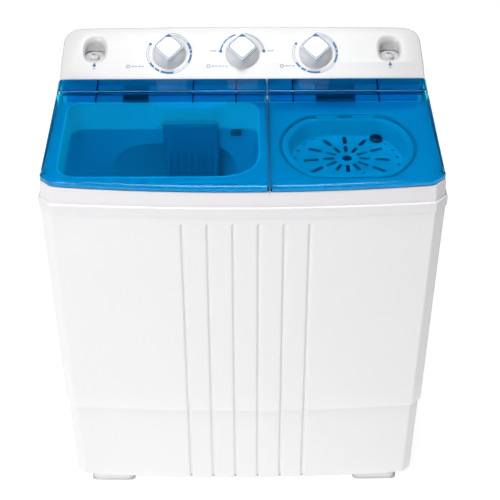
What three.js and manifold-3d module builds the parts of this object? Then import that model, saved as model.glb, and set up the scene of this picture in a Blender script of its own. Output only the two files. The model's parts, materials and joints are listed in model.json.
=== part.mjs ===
// Twin tub washer: a wash tub and a spin drier side by side in one cabinet, under two see-through lids.
// Millimetres, +Z up. The origin is on the floor, under the middle of the machine; the front faces -Y.
import * as THREE from 'three';
import { mergeVertices } from 'three/addons/utils/BufferGeometryUtils.js';
import { ConvexGeometry } from 'three/addons/geometries/ConvexGeometry.js';
import Module from 'manifold-3d';

const wasm = await Module();
wasm.setup();

// ---------------------------------------- driving dimensions
const GAP = 0.3; // between pieces that touch
const FAR = 1000; // a cut that runs past everything

const BODY = {
  half: 334.5, // half width at the frame's lip
  drawIn: 7, // the sides close in by this much towards the back
  front: -200, // the bowed front's middle
  back: 200,
  bow: 13.5, // how far the front's ends sit behind its middle
  chamfer: 20,
  rearChamfer: 10,
  narrowing: 0.0285, // share of the width lost from the lip to the floor
  wall: 3.5,
};
const FOOT_HEIGHT = 18;
const SEAM_Z = 200; // the base ends and the cabinet begins
const LIP_Z = 642.5; // underside of the top frame
const LIP_HEIGHT = 18.5;
const DECK_Z = 690; // top of the top frame
const DECK_THICKNESS = 4;

const GROOVE = { count: 6, pitch: 42, middle: 5.2, top: 629, radius: 5, depth: 2 };

const LID = {
  frontZ: 700.5, // top face at the front edge
  hingeZ: 715.8, // top face at the hinge line
  backZ: 718, // top face of the fixed strip at the console
  inset: 4.8,
  bow: 18,
  wall: 2.5,
  splitX: 43, // middle of the gap between the two lids
  splitGap: 3,
  hingeY: 72,
  pinZ: 714.2,
  knuckle: 2.8,
  pin: 1.2,
  stripBack: 108.1,
};
// The raised water channel behind the tubs.
const HOUSING = { half: 316, front: 74, back: 108, top: 706, wall: 3 };

const WASH = {
  x: -125, // pulsator axis
  y: -25,
  wall: 3,
  opening: [[-304, -150, 36], [26, -150, 70], [26, 71, 26], [-304, 71, 30]], // corners and their rounding
  collar: 3,
  collarZ: 636,
  floorZ: 340,
  bowlRadius: 150,
  bowlFloorZ: 310,
  bowlShoulderZ: 545,
  bowlTopZ: 602,
};
const FILTER = { left: -142, right: -44, z0: 440, z1: 650, depth: 16 };

const SPIN = {
  x: 177,
  y: -62,
  hole: 105,
  ledge: 112,
  ledgeZ: 686,
  front: -152,
  hingeY: 26,
  lidRadius: 110,
  dishTop: 101,
  dishFoot: 96,
  dishZ: 653,
  dome: 8,
  casing: 123,
  casingFloorZ: 300,
  basket: 108,
  basketZ0: 335,
  basketZ1: 640,
};

const CONSOLE = {
  half: 322.5,
  front: 108.5,
  edgeZ: 717.3, // where the sloping face starts
  slope: THREE.MathUtils.degToRad(32),
  length: 106,
  wall: 3,
  back: 198.2,
};
const KNOB = { v: 51, pitch: 129.5, base: 30, corner: 27.3, height: 24, cap: 2.7 };
const INLET = { x: 262, y: 153, pocketY: 159.5, pocket: 18.5, floorZ: 733, pipe: 7.5, bore: 5, top: 743 };

const MOTOR = { x: -240, y: 80, radius: 60, z0: 66, z1: 212 };
const BELT = { z0: 236, z1: 246, big: 80, small: 30, thickness: 5 };
const SPIN_MOTOR = { radius: 58, z0: 78, z1: 188, springRing: 74 };
const VALVE = { x: 60, y: 130, radius: 27, z0: 90, z1: 150 };
const OUTLET = { x: 240, z: 80, radius: 15, bore: 12 };

// ---------------------------------------- materials
const finish = (color, roughness, metalness) => new THREE.MeshStandardMaterial({ color, roughness, metalness });
const plastic = (color, roughness = 0.4) => finish(color, roughness, 0);
const metal = (color, roughness = 0.35) => finish(color, roughness, 1);
const WHITE = plastic(0xf2f2f3, 0.35);
const TUB = plastic(0xdfe7ee, 0.4);
const BLUE_CLEAR = new THREE.MeshStandardMaterial({
  color: 0x0a86c8, roughness: 0.08, metalness: 0, transparent: true, opacity: 0.6,
});
const BLUE = plastic(0x1f74a8, 0.4);
const GREY = plastic(0x8d9297, 0.5);
const BLACK = plastic(0x1b1c1e, 0.6);
const RUBBER = plastic(0x2a2b2d, 0.85);
const STEEL = metal(0xb9bcc0);
const ZINC = metal(0x9a9da1, 0.5);
const COPPER_CAN = metal(0x6f7378, 0.45);

// ---------------------------------------- solids
function solidOf(geometry) {
  const bare = geometry.clone();
  bare.deleteAttribute('normal');
  bare.deleteAttribute('uv');
  const merged = mergeVertices(bare, 1e-3);
  return new wasm.Manifold(
    new wasm.Mesh({
      numProp: 3,
      vertProperties: new Float32Array(merged.attributes.position.array),
      triVerts: new Uint32Array(merged.index.array),
    }),
  );
}

function geometryOf(solid) {
  const mesh = solid.getMesh();
  const geometry = new THREE.BufferGeometry();
  geometry.setAttribute('position', new THREE.BufferAttribute(mesh.vertProperties, 3));
  geometry.setIndex(new THREE.BufferAttribute(mesh.triVerts, 1));
  geometry.computeVertexNormals();
  return geometry;
}

const combine = (how) => (first, ...others) =>
  geometryOf(others.map(solidOf).reduce((made, other) => made[how](other), solidOf(first)));
const join = combine('add');
const cut = combine('subtract');
const common = combine('intersect');

// ---------------------------------------- shapes
function box(x0, x1, y0, y1, z0, z1) {
  const made = new THREE.BoxGeometry(x1 - x0, y1 - y0, z1 - z0);
  return made.translate((x0 + x1) / 2, (y0 + y1) / 2, (z0 + z1) / 2);
}

// The same, with its two X faces given in either order.
function between(xa, xb, ...rest) {
  return box(Math.min(xa, xb), Math.max(xa, xb), ...rest);
}

function slab(shape, z0, z1, curveSegments = 6) {
  const made = new THREE.ExtrudeGeometry(shape, { depth: z1 - z0, bevelEnabled: false, curveSegments });
  return made.translate(0, 0, z0);
}

function upright(radius, z0, z1, x = 0, y = 0, segments = 20, topRadius = radius) {
  const made = new THREE.CylinderGeometry(topRadius, radius, z1 - z0, segments);
  return made.rotateX(Math.PI / 2).translate(x, y, (z0 + z1) / 2);
}

function across(radius, x0, x1, y, z, segments = 12) {
  return new THREE.CylinderGeometry(radius, radius, x1 - x0, segments)
    .rotateZ(Math.PI / 2)
    .translate((x0 + x1) / 2, y, z);
}

function alongY(radius, y0, y1, x, z, segments = 16) {
  return new THREE.CylinderGeometry(radius, radius, y1 - y0, segments).translate(x, (y0 + y1) / 2, z);
}

// A profile of [radius, height] pairs, turned about a vertical axis.
function turned(profile, x = 0, y = 0, segments = 28) {
  const made = new THREE.LatheGeometry(profile.map(([r, z]) => new THREE.Vector2(r, z)), segments);
  return made.rotateX(Math.PI / 2).translate(x, y, 0);
}

// A profile of [y, z] pairs, drawn out along X.
function sideProfile(points, x0, x1) {
  const shape = new THREE.Shape(points.map(([y, z]) => new THREE.Vector2(y, z)));
  const made = new THREE.ExtrudeGeometry(shape, { depth: x1 - x0, bevelEnabled: false });
  const axes = new THREE.Matrix4().makeBasis(
    new THREE.Vector3(0, 1, 0), new THREE.Vector3(0, 0, 1), new THREE.Vector3(1, 0, 0),
  );
  return made.applyMatrix4(axes).translate(x0, 0, 0);
}

// Corners [x, y, rounding], each rounded by a curve that touches both its sides, and all moved out by grow.
function roundedShape(corners, grow = 0) {
  const shape = new THREE.Shape();
  const middleX = corners.reduce((sum, c) => sum + c[0], 0) / corners.length;
  const middleY = corners.reduce((sum, c) => sum + c[1], 0) / corners.length;
  const grown = corners.map(([x, y, r]) => [
    new THREE.Vector2(x + grow * Math.sign(x - middleX), y + grow * Math.sign(y - middleY)), r + grow,
  ]);
  grown.forEach(([corner, r], i) => {
    const before = grown[(i + grown.length - 1) % grown.length][0];
    const after = grown[(i + 1) % grown.length][0];
    const from = corner.clone().add(before.clone().sub(corner).setLength(r));
    const to = corner.clone().add(after.clone().sub(corner).setLength(r));
    if (i) shape.lineTo(from.x, from.y);
    else shape.moveTo(from.x, from.y);
    shape.quadraticCurveTo(corner.x, corner.y, to.x, to.y);
  });
  shape.closePath();
  return shape;
}

// The machine's plan outline: bowed front, chamfered corners, sides that close in towards the back.
function planShape(inset = 0, bow = BODY.bow) {
  const half = BODY.half - inset;
  const rear = half - BODY.drawIn;
  const chamfer = BODY.chamfer - 0.586 * inset;
  const front = BODY.front + inset;
  const back = BODY.back - inset;
  const reach = half - chamfer;
  const radius = (reach ** 2 + bow ** 2) / (2 * bow);
  const swing = Math.asin(reach / radius);
  const shape = new THREE.Shape();
  shape.absarc(0, front + radius, radius, -Math.PI / 2 - swing, -Math.PI / 2 + swing, false);
  shape.lineTo(half, front + bow + chamfer);
  shape.lineTo(rear, back - BODY.rearChamfer);
  shape.lineTo(rear - BODY.rearChamfer, back);
  shape.lineTo(-rear + BODY.rearChamfer, back);
  shape.lineTo(-rear, back - BODY.rearChamfer);
  shape.lineTo(-half, front + bow + chamfer);
  shape.closePath();
  return shape;
}

// The body narrows evenly from the lip down to the floor.
function narrowed(geometry) {
  const position = geometry.attributes.position;
  for (let i = 0; i < position.count; i += 1) {
    const share = (LIP_Z - position.getZ(i)) / LIP_Z;
    position.setX(i, position.getX(i) * (1 - BODY.narrowing * share));
  }
  return geometry;
}

function bodyTube(inset, z0, z1, floor = 0) {
  const outer = narrowed(slab(planShape(inset), z0, z1, 10));
  const hollowFrom = floor ? z0 + floor : z0 - 1;
  const inner = narrowed(slab(planShape(inset + BODY.wall), hollowFrom, z1 + 1, 10));
  return cut(outer, inner);
}

// The vertical grooves pressed into the front, shared by the cabinet and the base.
function grooves(frontInset, z0, z1) {
  return Array.from({ length: GROOVE.count }, (_, i) => {
    const x = GROOVE.middle + (i - (GROOVE.count - 1) / 2) * GROOVE.pitch;
    const reach = BODY.half - BODY.chamfer;
    const surface = BODY.front + frontInset + BODY.bow * (x / reach) ** 2;
    return upright(GROOVE.radius, z0, z1, x, surface - GROOVE.radius + GROOVE.depth, 12);
  });
}

// The spin opening: a circle cut off straight at its front and back.
function spinDisc(radius, front, back, z0, z1, segments = 40) {
  return common(
    upright(radius, z0, z1, SPIN.x, SPIN.y, segments),
    box(SPIN.x - FAR, SPIN.x + FAR, front, back, z0 - 1, z1 + 1),
  );
}

function tube(points, radius, steps, sides = 8) {
  const path = new THREE.CatmullRomCurve3(points.map((p) => new THREE.Vector3(...p)));
  const section = new THREE.Shape();
  section.absarc(0, 0, radius, 0, 2 * Math.PI, false);
  return new THREE.ExtrudeGeometry(section, {
    steps, extrudePath: path, curveSegments: sides, bevelEnabled: false,
  });
}

// ---------------------------------------- placing
const washer = new THREE.Group();
const consoleFace = new THREE.Group(); // X across, Y up the sloping face, Z out of it
consoleFace.position.set(0, CONSOLE.front, CONSOLE.edgeZ);
consoleFace.rotation.x = CONSOLE.slope;
washer.add(consoleFace);
consoleFace.updateMatrixWorld(true);

function piece(name, geometry, material, parent = washer) {
  const mesh = new THREE.Mesh(geometry, material);
  mesh.name = name;
  parent.add(mesh);
  return mesh;
}

// ---------------------------------------- cabinet, base and feet
const CABINET_INSET = 2;
const BASE_INSET = 6;
const REAR_OPENING = { half: 205, z0: 245, z1: 605 };
const REAR_COVER = { half: 225, z0: 225, z1: 625, thickness: 1.8 };
const REAR_SCREWS = [[-215, 425], [215, 425]];
const CORD = { x: 255, z: 560, radius: 8 };

function cabinet() {
  const inside = BODY.back - CABINET_INSET - BODY.wall;
  return cut(
    bodyTube(CABINET_INSET, SEAM_Z + GAP, LIP_Z - GAP),
    ...grooves(CABINET_INSET, SEAM_Z - 1, GROOVE.top),
    box(-REAR_OPENING.half, REAR_OPENING.half, inside - 2, FAR, REAR_OPENING.z0, REAR_OPENING.z1),
    ...REAR_SCREWS.map(([x, z]) => alongY(2.4, inside - 2, FAR / 2, x, z, 8)),
    alongY(CORD.radius + GAP, inside - 2, FAR / 2, CORD.x, CORD.z, 16),
  );
}

const POCKET = { half: 40, depth: 30, z0: 40, z1: 120, wall: 3 };
const FLOOR = 6;

function base() {
  const back = BODY.back - BASE_INSET;
  const floorZ = FOOT_HEIGHT + FLOOR;
  const motorRail = (x) => box(x - 8, x + 8, MOTOR.y - 70, MOTOR.y + 70, floorZ - 1, MOTOR.z0 - 6);
  return cut(
    join(
      bodyTube(BASE_INSET, FOOT_HEIGHT, SEAM_Z, FLOOR),
      box(
        OUTLET.x - POCKET.half - POCKET.wall, OUTLET.x + POCKET.half + POCKET.wall,
        back - POCKET.depth - POCKET.wall, back - 1, POCKET.z0 - POCKET.wall, POCKET.z1 + POCKET.wall,
      ),
      motorRail(MOTOR.x - 40),
      motorRail(MOTOR.x + 40),
    ),
    box(
      OUTLET.x - POCKET.half, OUTLET.x + POCKET.half, back - POCKET.depth, FAR, POCKET.z0, POCKET.z1,
    ),
    alongY(OUTLET.radius + GAP, back - FAR / 4, back, OUTLET.x, OUTLET.z),
    box(-110, 60, -120, 40, 0, floorZ + 1),
    ...grooves(BASE_INSET, 0, SEAM_Z + 1),
  );
}

piece('cabinet', cabinet(), WHITE);
piece('base', base(), WHITE);

const FOOT = { x: 250, y: 150, width: 76, depth: 56, rounding: 16 };
for (const [name, x, y] of [
  ['foot_front_left', -FOOT.x, -FOOT.y], ['foot_front_right', FOOT.x, -FOOT.y],
  ['foot_rear_left', -FOOT.x, FOOT.y], ['foot_rear_right', FOOT.x, FOOT.y],
]) {
  const corners = [[-1, -1], [1, -1], [1, 1], [-1, 1]].map(([sx, sy]) => [
    x + (sx * FOOT.width) / 2, y + (sy * FOOT.depth) / 2, FOOT.rounding,
  ]);
  piece(name, slab(roundedShape(corners), 0, FOOT_HEIGHT - GAP, 3), WHITE);
}

// ---------------------------------------- rear cover, its screws, and the cord's gland
function rearCover() {
  const front = BODY.back - CABINET_INSET + GAP;
  const plate = box(
    -REAR_COVER.half, REAR_COVER.half, front, front + REAR_COVER.thickness, REAR_COVER.z0, REAR_COVER.z1,
  );
  const louvres = [];
  for (const x of [-110, 110]) {
    for (let row = 0; row < 5; row += 1) {
      const z = 300 + row * 18;
      louvres.push(box(x - 60, x + 60, front - 1, FAR, z, z + 6));
    }
  }
  const screwHoles = REAR_SCREWS.map(([x, z]) => alongY(2.4, front - 1, FAR / 2, x, z, 8));
  return cut(plate, ...louvres, ...screwHoles);
}

function screw(x, y, z, length) {
  return join(alongY(4, y, y + 0.9, x, z, 10), alongY(2, y - length, y + 0.5, x, z, 8));
}

piece('rear_cover', rearCover(), WHITE);
const coverFace = BODY.back - CABINET_INSET + 2 * GAP + REAR_COVER.thickness;
REAR_SCREWS.forEach(([x, z], i) => piece(`rear_cover_screw_${i + 1}`, screw(x, coverFace, z, 12), ZINC));

const glandFace = BODY.back - CABINET_INSET + GAP;
piece(
  'cord_gland',
  cut(
    join(
      alongY(CORD.radius + 3, glandFace, glandFace + 2.7, CORD.x, CORD.z),
      alongY(CORD.radius, glandFace - 9, glandFace + 1, CORD.x, CORD.z),
    ),
    alongY(3.5, glandFace + 0.5, FAR / 2, CORD.x, CORD.z, 12),
  ),
  RUBBER,
);

// ---------------------------------------- top frame
const WATER_OUTLETS = [[-209, -164], [128, 198]];
const INNER_HINGE = { half: 50, radius: 2.6, z: SPIN.ledgeZ + 3.2, pin: 1.1, ear: 5 };
const APRON = { foot: 4, top: 4.7 }; // how far in from the lip
const FRAME_WELL = { half: 69, front: 28, back: 60, depth: 2 }; // shallow bay behind the inner lid's hinge

// The apron leans in from the lip up to the deck, and its front takes on the deeper bow of the lids.
function leanedIn(geometry) {
  const position = geometry.attributes.position;
  const foot = LIP_Z + LIP_HEIGHT;
  const reach = BODY.half - BODY.chamfer;
  for (let i = 0; i < position.count; i += 1) {
    const share = Math.max(0, (position.getZ(i) - foot) / (DECK_Z - foot));
    const x = position.getX(i);
    const y = position.getY(i);
    const lean = share * (APRON.top - APRON.foot);
    const setBack = y < 0 ? share * (LID.bow - BODY.bow) * (x / reach) ** 2 : 0;
    position.setXY(i, x - lean * Math.sign(x), y - lean * Math.sign(y) + setBack);
  }
  return geometry;
}

function topFrame() {
  const under = DECK_Z - DECK_THICKNESS;
  const outer = join(
    slab(planShape(0), LIP_Z, LIP_Z + LIP_HEIGHT, 10),
    leanedIn(slab(planShape(APRON.foot), LIP_Z + 1, DECK_Z, 10)),
  );
  const shell = cut(outer, leanedIn(slab(planShape(APRON.foot + BODY.wall), LIP_Z - 1, under, 10)));
  const housing = box(-HOUSING.half, HOUSING.half, HOUSING.front, HOUSING.back, DECK_Z - 1, HOUSING.top);
  const bulge = { x0: FILTER.left - 10, x1: FILTER.right + 10, front: 57, back: HOUSING.front - 0.5 };
  const filterBulge = slab(
    roundedShape([
      [bulge.x0, bulge.front, 8], [bulge.x1, bulge.front, 8],
      [bulge.x1, bulge.back, 1], [bulge.x0, bulge.back, 1],
    ]),
    FILTER.z1 + 1, DECK_Z, 3,
  );
  const washHole = slab(roundedShape(WASH.opening), WASH.collarZ - 1, DECK_Z + 1);
  const solid = join(
    shell,
    housing,
    slab(roundedShape(WASH.opening, WASH.collar), WASH.collarZ, DECK_Z),
    spinDisc(SPIN.ledge + 4, SPIN.front - 7, SPIN.hingeY + 8, SPIN.ledgeZ - 4, DECK_Z),
    spinDisc(SPIN.hole + 3, SPIN.front + 1, SPIN.hingeY - 1, DECK_Z - 42, DECK_Z),
  );
  const opened = cut(
    solid,
    washHole,
    box(
      FILTER.left - 12, FILTER.right + 12, WASH.opening[2][1] - 1, HOUSING.front + 0.4,
      WASH.collarZ - 1, FILTER.z1 + 1,
    ),
    spinDisc(SPIN.ledge, SPIN.front - 3, SPIN.hingeY + 4, SPIN.ledgeZ, DECK_Z + 1),
    spinDisc(SPIN.hole, SPIN.front + 4, SPIN.hingeY - 4, 0, DECK_Z),
    box(
      SPIN.x - FRAME_WELL.half, SPIN.x + FRAME_WELL.half, FRAME_WELL.front, FRAME_WELL.back,
      DECK_Z - FRAME_WELL.depth, DECK_Z + 1,
    ),
    box(
      -HOUSING.half + HOUSING.wall, HOUSING.half - HOUSING.wall,
      HOUSING.front + HOUSING.wall + 1.5, HOUSING.back - HOUSING.wall,
      under - 1, HOUSING.top - HOUSING.wall,
    ),
    ...WATER_OUTLETS.map(([x0, x1]) =>
      box(x0, x1, HOUSING.front - 1, HOUSING.back + 1, DECK_Z, HOUSING.top + 1)),
    box(-292, 292, HOUSING.back + 6, BODY.back - 14, under - 1, DECK_Z + 1),
  );
  const ears = [-1, 1].map((side) => {
    const near = SPIN.x + side * (INNER_HINGE.half + 0.5);
    const far = near + side * INNER_HINGE.ear;
    return between(near, far, SPIN.hingeY - 2, SPIN.hingeY + 3, SPIN.ledgeZ - 1, INNER_HINGE.z + 2);
  });
  const stubs = [-1, 1].map((side) => {
    const middle = SPIN.x + side * (INNER_HINGE.half - 1.5);
    return across(INNER_HINGE.pin, middle - 3.5, middle + 3.5, SPIN.hingeY, INNER_HINGE.z, 8);
  });
  return join(opened, filterBulge, ...ears, ...stubs);
}

piece('top_frame', topFrame(), WHITE);

// ---------------------------------------- wash tub and its lint filter
function bowlProfile(grow) {
  const rise = WASH.bowlTopZ - WASH.bowlShoulderZ;
  const waist = 101;
  const shoulder = [0.25, 0.5, 0.75, 1].map((share) => {
    const angle = (share * Math.PI) / 2;
    const radius = waist + (WASH.bowlRadius - waist) * Math.cos(angle);
    return [radius + grow, WASH.bowlShoulderZ + rise * Math.sin(angle) + grow * Math.sin(angle)];
  });
  return [
    [0, WASH.bowlFloorZ - grow],
    [WASH.bowlRadius - 24 + grow, WASH.bowlFloorZ - grow],
    [WASH.bowlRadius + grow, WASH.floorZ + 10],
    [WASH.bowlRadius + grow, WASH.bowlShoulderZ],
    ...shoulder,
    [0, WASH.bowlTopZ + grow],
  ];
}

const TUB_TOP = DECK_Z - DECK_THICKNESS - GAP;
const WASH_DRAIN = { x: WASH.x + 107, y: WASH.y, radius: 14, z: 284 };

function washTub() {
  const collarRoom = WASH.collar + 0.6;
  const outer = join(
    slab(roundedShape(WASH.opening, collarRoom + WASH.wall), WASH.floorZ - WASH.wall, TUB_TOP),
    turned(bowlProfile(WASH.wall), WASH.x, WASH.y, 36),
    upright(WASH_DRAIN.radius, WASH_DRAIN.z, WASH.floorZ, WASH_DRAIN.x, WASH_DRAIN.y, 16),
    upright(22, WASH.bowlFloorZ - 12, WASH.bowlFloorZ, WASH.x, WASH.y, 20),
  );
  return cut(
    outer,
    slab(roundedShape(WASH.opening, collarRoom), WASH.floorZ, TUB_TOP + 1),
    turned(bowlProfile(0), WASH.x, WASH.y, 36),
    upright(WASH_DRAIN.radius - 2.5, 0, WASH.floorZ, WASH_DRAIN.x, WASH_DRAIN.y, 12),
    upright(11, 0, WASH.floorZ, WASH.x, WASH.y, 16),
    box(-30, -6, WASH.opening[2][1], FAR, 614, 633),
  );
}

function lintFilter() {
  const back = WASH.opening[2][1] + 3;
  const front = back - FILTER.depth;
  const body = slab(
    roundedShape([
      [FILTER.left, front, 8], [FILTER.right, front, 8], [FILTER.right, back, 1], [FILTER.left, back, 1],
    ]),
    FILTER.z0, FILTER.z1, 3,
  );
  const slots = Array.from({ length: 7 }, (_, i) => {
    const x = (FILTER.left + FILTER.right) / 2 + (i - 3) * 12;
    return box(x - 2, x + 2, front - 1, front + 3, FILTER.z0 + 25, FILTER.z1 - 60);
  });
  return cut(body, ...slots);
}

// The tub's upper walls and its lower part with the bowl are two pieces, one on top of the other.
const TUB_SPLIT_Z = WASH.bowlTopZ + 6;
const wholeTub = washTub();
piece('wash_tub', common(wholeTub, box(-FAR, FAR, -FAR, FAR, 0, TUB_SPLIT_Z)), TUB);
piece('wash_tub_walls', common(wholeTub, box(-FAR, FAR, -FAR, FAR, TUB_SPLIT_Z + GAP, FAR)), TUB);
piece('lint_filter', lintFilter(), TUB);

// ---------------------------------------- pulsator, its shaft, pulleys, belt and motor
const PULSATOR = { radius: 116, z0: 318, vanes: 6 };

function pulsator() {
  const plate = turned([
    [0, PULSATOR.z0], [PULSATOR.radius - 3, PULSATOR.z0], [PULSATOR.radius, PULSATOR.z0 + 4],
    [PULSATOR.radius - 4, PULSATOR.z0 + 9], [60, PULSATOR.z0 + 7], [34, PULSATOR.z0 + 18],
    [20, PULSATOR.z0 + 30], [0, PULSATOR.z0 + 32],
  ], WASH.x, WASH.y, 32);
  const vanes = Array.from({ length: PULSATOR.vanes }, (_, i) => {
    const vane = sideProfile([
      [14, PULSATOR.z0 + 5], [104, PULSATOR.z0 + 5], [96, PULSATOR.z0 + 20], [40, PULSATOR.z0 + 26],
      [14, PULSATOR.z0 + 28],
    ], -4, 4);
    return vane.rotateZ((i * 2 * Math.PI) / PULSATOR.vanes).translate(WASH.x, WASH.y, 0);
  });
  return cut(
    join(plate, ...vanes),
    upright(5.5, PULSATOR.z0 + 28, PULSATOR.z0 + 40, WASH.x, WASH.y, 12),
    upright(8.4, PULSATOR.z0 - 1, PULSATOR.z0 + 14, WASH.x, WASH.y, 16),
  );
}

piece('pulsator', pulsator(), BLUE);
piece('pulsator_screw', upright(5, PULSATOR.z0 + 28 + GAP, PULSATOR.z0 + 33, WASH.x, WASH.y, 12), STEEL);
piece('wash_shaft', upright(8, 226, PULSATOR.z0 + 13, WASH.x, WASH.y, 16), STEEL);
piece('wash_bearing_housing', turned([
  [8.6, 254], [20, 254], [20, 280], [40, 290], [40, 297 - GAP], [8.6, 297 - GAP], [8.6, 254],
], WASH.x, WASH.y, 20), ZINC);

function pulley(radius, x, y, bore) {
  const middle = (BELT.z0 + BELT.z1) / 2;
  return turned([
    [bore, middle - 9], [radius + 4, middle - 9], [radius + 4, middle - 7], [radius, middle - 5.6],
    [radius, middle + 5.6], [radius + 4, middle + 7], [radius + 4, middle + 9], [bore, middle + 9],
    [bore, middle - 9],
  ], x, y, 20);
}

// The belt's line round both pulleys: two arcs joined by the outer tangents.
function beltLoop(offset) {
  const dx = MOTOR.x - WASH.x;
  const dy = MOTOR.y - WASH.y;
  const heading = Math.atan2(dy, dx);
  const lean = Math.acos((BELT.big - BELT.small) / Math.hypot(dx, dy));
  const loop = new THREE.Shape();
  loop.absarc(WASH.x, WASH.y, BELT.big + offset, heading + lean, heading - lean + 2 * Math.PI, false);
  loop.absarc(MOTOR.x, MOTOR.y, BELT.small + offset, heading - lean, heading + lean, false);
  loop.closePath();
  return loop;
}

piece('wash_pulley', pulley(BELT.big, WASH.x, WASH.y, 8.4), GREY);
piece('motor_pulley', pulley(BELT.small, MOTOR.x, MOTOR.y, 6.4), GREY);
piece(
  'wash_belt',
  cut(
    slab(beltLoop(0.8 + BELT.thickness), BELT.z0, BELT.z1, 14),
    slab(beltLoop(0.8), BELT.z0 - 1, BELT.z1 + 1, 14),
  ),
  RUBBER,
);

function washMotor() {
  return cut(
    join(
      upright(MOTOR.radius, MOTOR.z0 + 8, MOTOR.z1, MOTOR.x, MOTOR.y, 24),
      upright(MOTOR.radius - 14, MOTOR.z1 - 1, MOTOR.z1 + 8, MOTOR.x, MOTOR.y, 20),
      box(MOTOR.x - 52, MOTOR.x + 52, MOTOR.y - 60, MOTOR.y + 60, MOTOR.z0 - 6 + GAP, MOTOR.z0 + 9),
    ),
    upright(6.6, MOTOR.z1 - 30, MOTOR.z1 + 20, MOTOR.x, MOTOR.y, 16),
  );
}

piece('wash_motor', washMotor(), COPPER_CAN);
piece('motor_shaft', upright(6, MOTOR.z1 - 28, 252, MOTOR.x, MOTOR.y, 12), STEEL);

// ---------------------------------------- spin casing, basket, shaft, motor and springs
const SPIN_DRAIN = { x: SPIN.x - 60, y: SPIN.y + 70, radius: 12, z: 276 };

function spinCasing() {
  const outer = join(
    upright(SPIN.casing, SPIN.casingFloorZ, TUB_TOP, SPIN.x, SPIN.y, 40),
    upright(SPIN_DRAIN.radius, SPIN_DRAIN.z, SPIN.casingFloorZ + 2, SPIN_DRAIN.x, SPIN_DRAIN.y, 12),
  );
  return cut(
    outer,
    upright(SPIN.casing - 3, SPIN.casingFloorZ + 3, TUB_TOP + 1, SPIN.x, SPIN.y, 40),
    upright(30, 0, SPIN.casingFloorZ + 5, SPIN.x, SPIN.y, 20),
    upright(SPIN_DRAIN.radius - 2.5, 0, SPIN.casingFloorZ + 5, SPIN_DRAIN.x, SPIN_DRAIN.y, 12),
  );
}

const BASKET = { wall: 2.5, rim: 97, rimHeight: 26, rows: 4, holesRound: 8, hole: 4 };

function spinBasket() {
  const { basket: r, basketZ0: z0, basketZ1: z1 } = SPIN;
  const shell = turned([
    [9.6, z0], [r - 8, z0], [r, z0 + 10], [r, z1 - BASKET.rimHeight - 4], [r + 4, z1 - BASKET.rimHeight],
    [r + 4, z1 - 2], [r + 2, z1], [BASKET.rim, z1], [BASKET.rim, z1 - BASKET.rimHeight],
    [r - BASKET.wall, z1 - BASKET.rimHeight - 6], [r - BASKET.wall, z0 + 12], [r - 10, z0 + BASKET.wall + 2],
    [30, z0 + BASKET.wall + 2], [22, z0 + 40], [0, z0 + 42], [0, z0 + 30], [9.6, z0 + 30], [9.6, z0],
  ], SPIN.x, SPIN.y, 36);
  const holes = [];
  for (let row = 0; row < BASKET.rows; row += 1) {
    for (let i = 0; i < BASKET.holesRound / 2; i += 1) {
      const turn = ((i + (row % 2) / 2) * 2 * Math.PI) / BASKET.holesRound;
      const across180 = new THREE.CylinderGeometry(BASKET.hole, BASKET.hole, 2 * r + 20, 6);
      holes.push(across180.rotateZ(turn).translate(SPIN.x, SPIN.y, z0 + 70 + row * 52));
    }
  }
  return cut(shell, ...holes);
}

piece('spin_casing', spinCasing(), TUB);
piece('spin_basket', spinBasket(), TUB);
piece('spin_shaft', upright(9, SPIN_MOTOR.z1 - 28, SPIN.basketZ0 + 28, SPIN.x, SPIN.y, 16), STEEL);
piece('brake_drum', turned([
  [9.4, 204], [45, 204], [45, 232], [40, 232], [40, 210], [16, 210], [16, 240], [9.4, 240], [9.4, 204],
], SPIN.x, SPIN.y, 28), ZINC);
piece('spin_seal', turned([
  [9.8, 292], [16, 288], [29.5, 296], [29.5, 304], [26, 304], [20, 316], [9.8, 316], [9.8, 292],
], SPIN.x, SPIN.y, 20), RUBBER);

function spinMotor() {
  return cut(
    join(
      upright(SPIN_MOTOR.radius, SPIN_MOTOR.z0, SPIN_MOTOR.z1, SPIN.x, SPIN.y, 24),
      upright(SPIN_MOTOR.radius - 12, SPIN_MOTOR.z1 - 1, SPIN_MOTOR.z1 + 8, SPIN.x, SPIN.y, 20),
      upright(SPIN_MOTOR.springRing + 14, SPIN_MOTOR.z0, SPIN_MOTOR.z0 + 4, SPIN.x, SPIN.y, 24),
    ),
    upright(9.6, SPIN_MOTOR.z1 - 30, FAR, SPIN.x, SPIN.y, 16),
  );
}

piece('spin_motor', spinMotor(), COPPER_CAN);

class Helix extends THREE.Curve {
  constructor(radius, height, turns) {
    super();
    Object.assign(this, { radius, height, turns });
  }

  getPoint(t, target = new THREE.Vector3()) {
    const angle = t * this.turns * 2 * Math.PI;
    return target.set(this.radius * Math.cos(angle), this.radius * Math.sin(angle), t * this.height);
  }
}

const SPRING = { radius: 13, wire: 2.2, turns: 5, z0: 27, z1: 75 };
const wireSection = new THREE.Shape();
wireSection.absarc(0, 0, SPRING.wire, 0, 2 * Math.PI, false);
for (let i = 0; i < 3; i += 1) {
  const angle = Math.PI / 2 + (i * 2 * Math.PI) / 3;
  const coil = new THREE.ExtrudeGeometry(wireSection, {
    steps: 30,
    extrudePath: new Helix(SPRING.radius, SPRING.z1 - SPRING.z0, SPRING.turns),
    curveSegments: 2,
    bevelEnabled: false,
  });
  const spring = piece(`suspension_spring_${i + 1}`, coil, STEEL);
  spring.position.set(
    SPIN.x + SPIN_MOTOR.springRing * Math.cos(angle),
    SPIN.y + SPIN_MOTOR.springRing * Math.sin(angle),
    SPRING.z0,
  );
}

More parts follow.
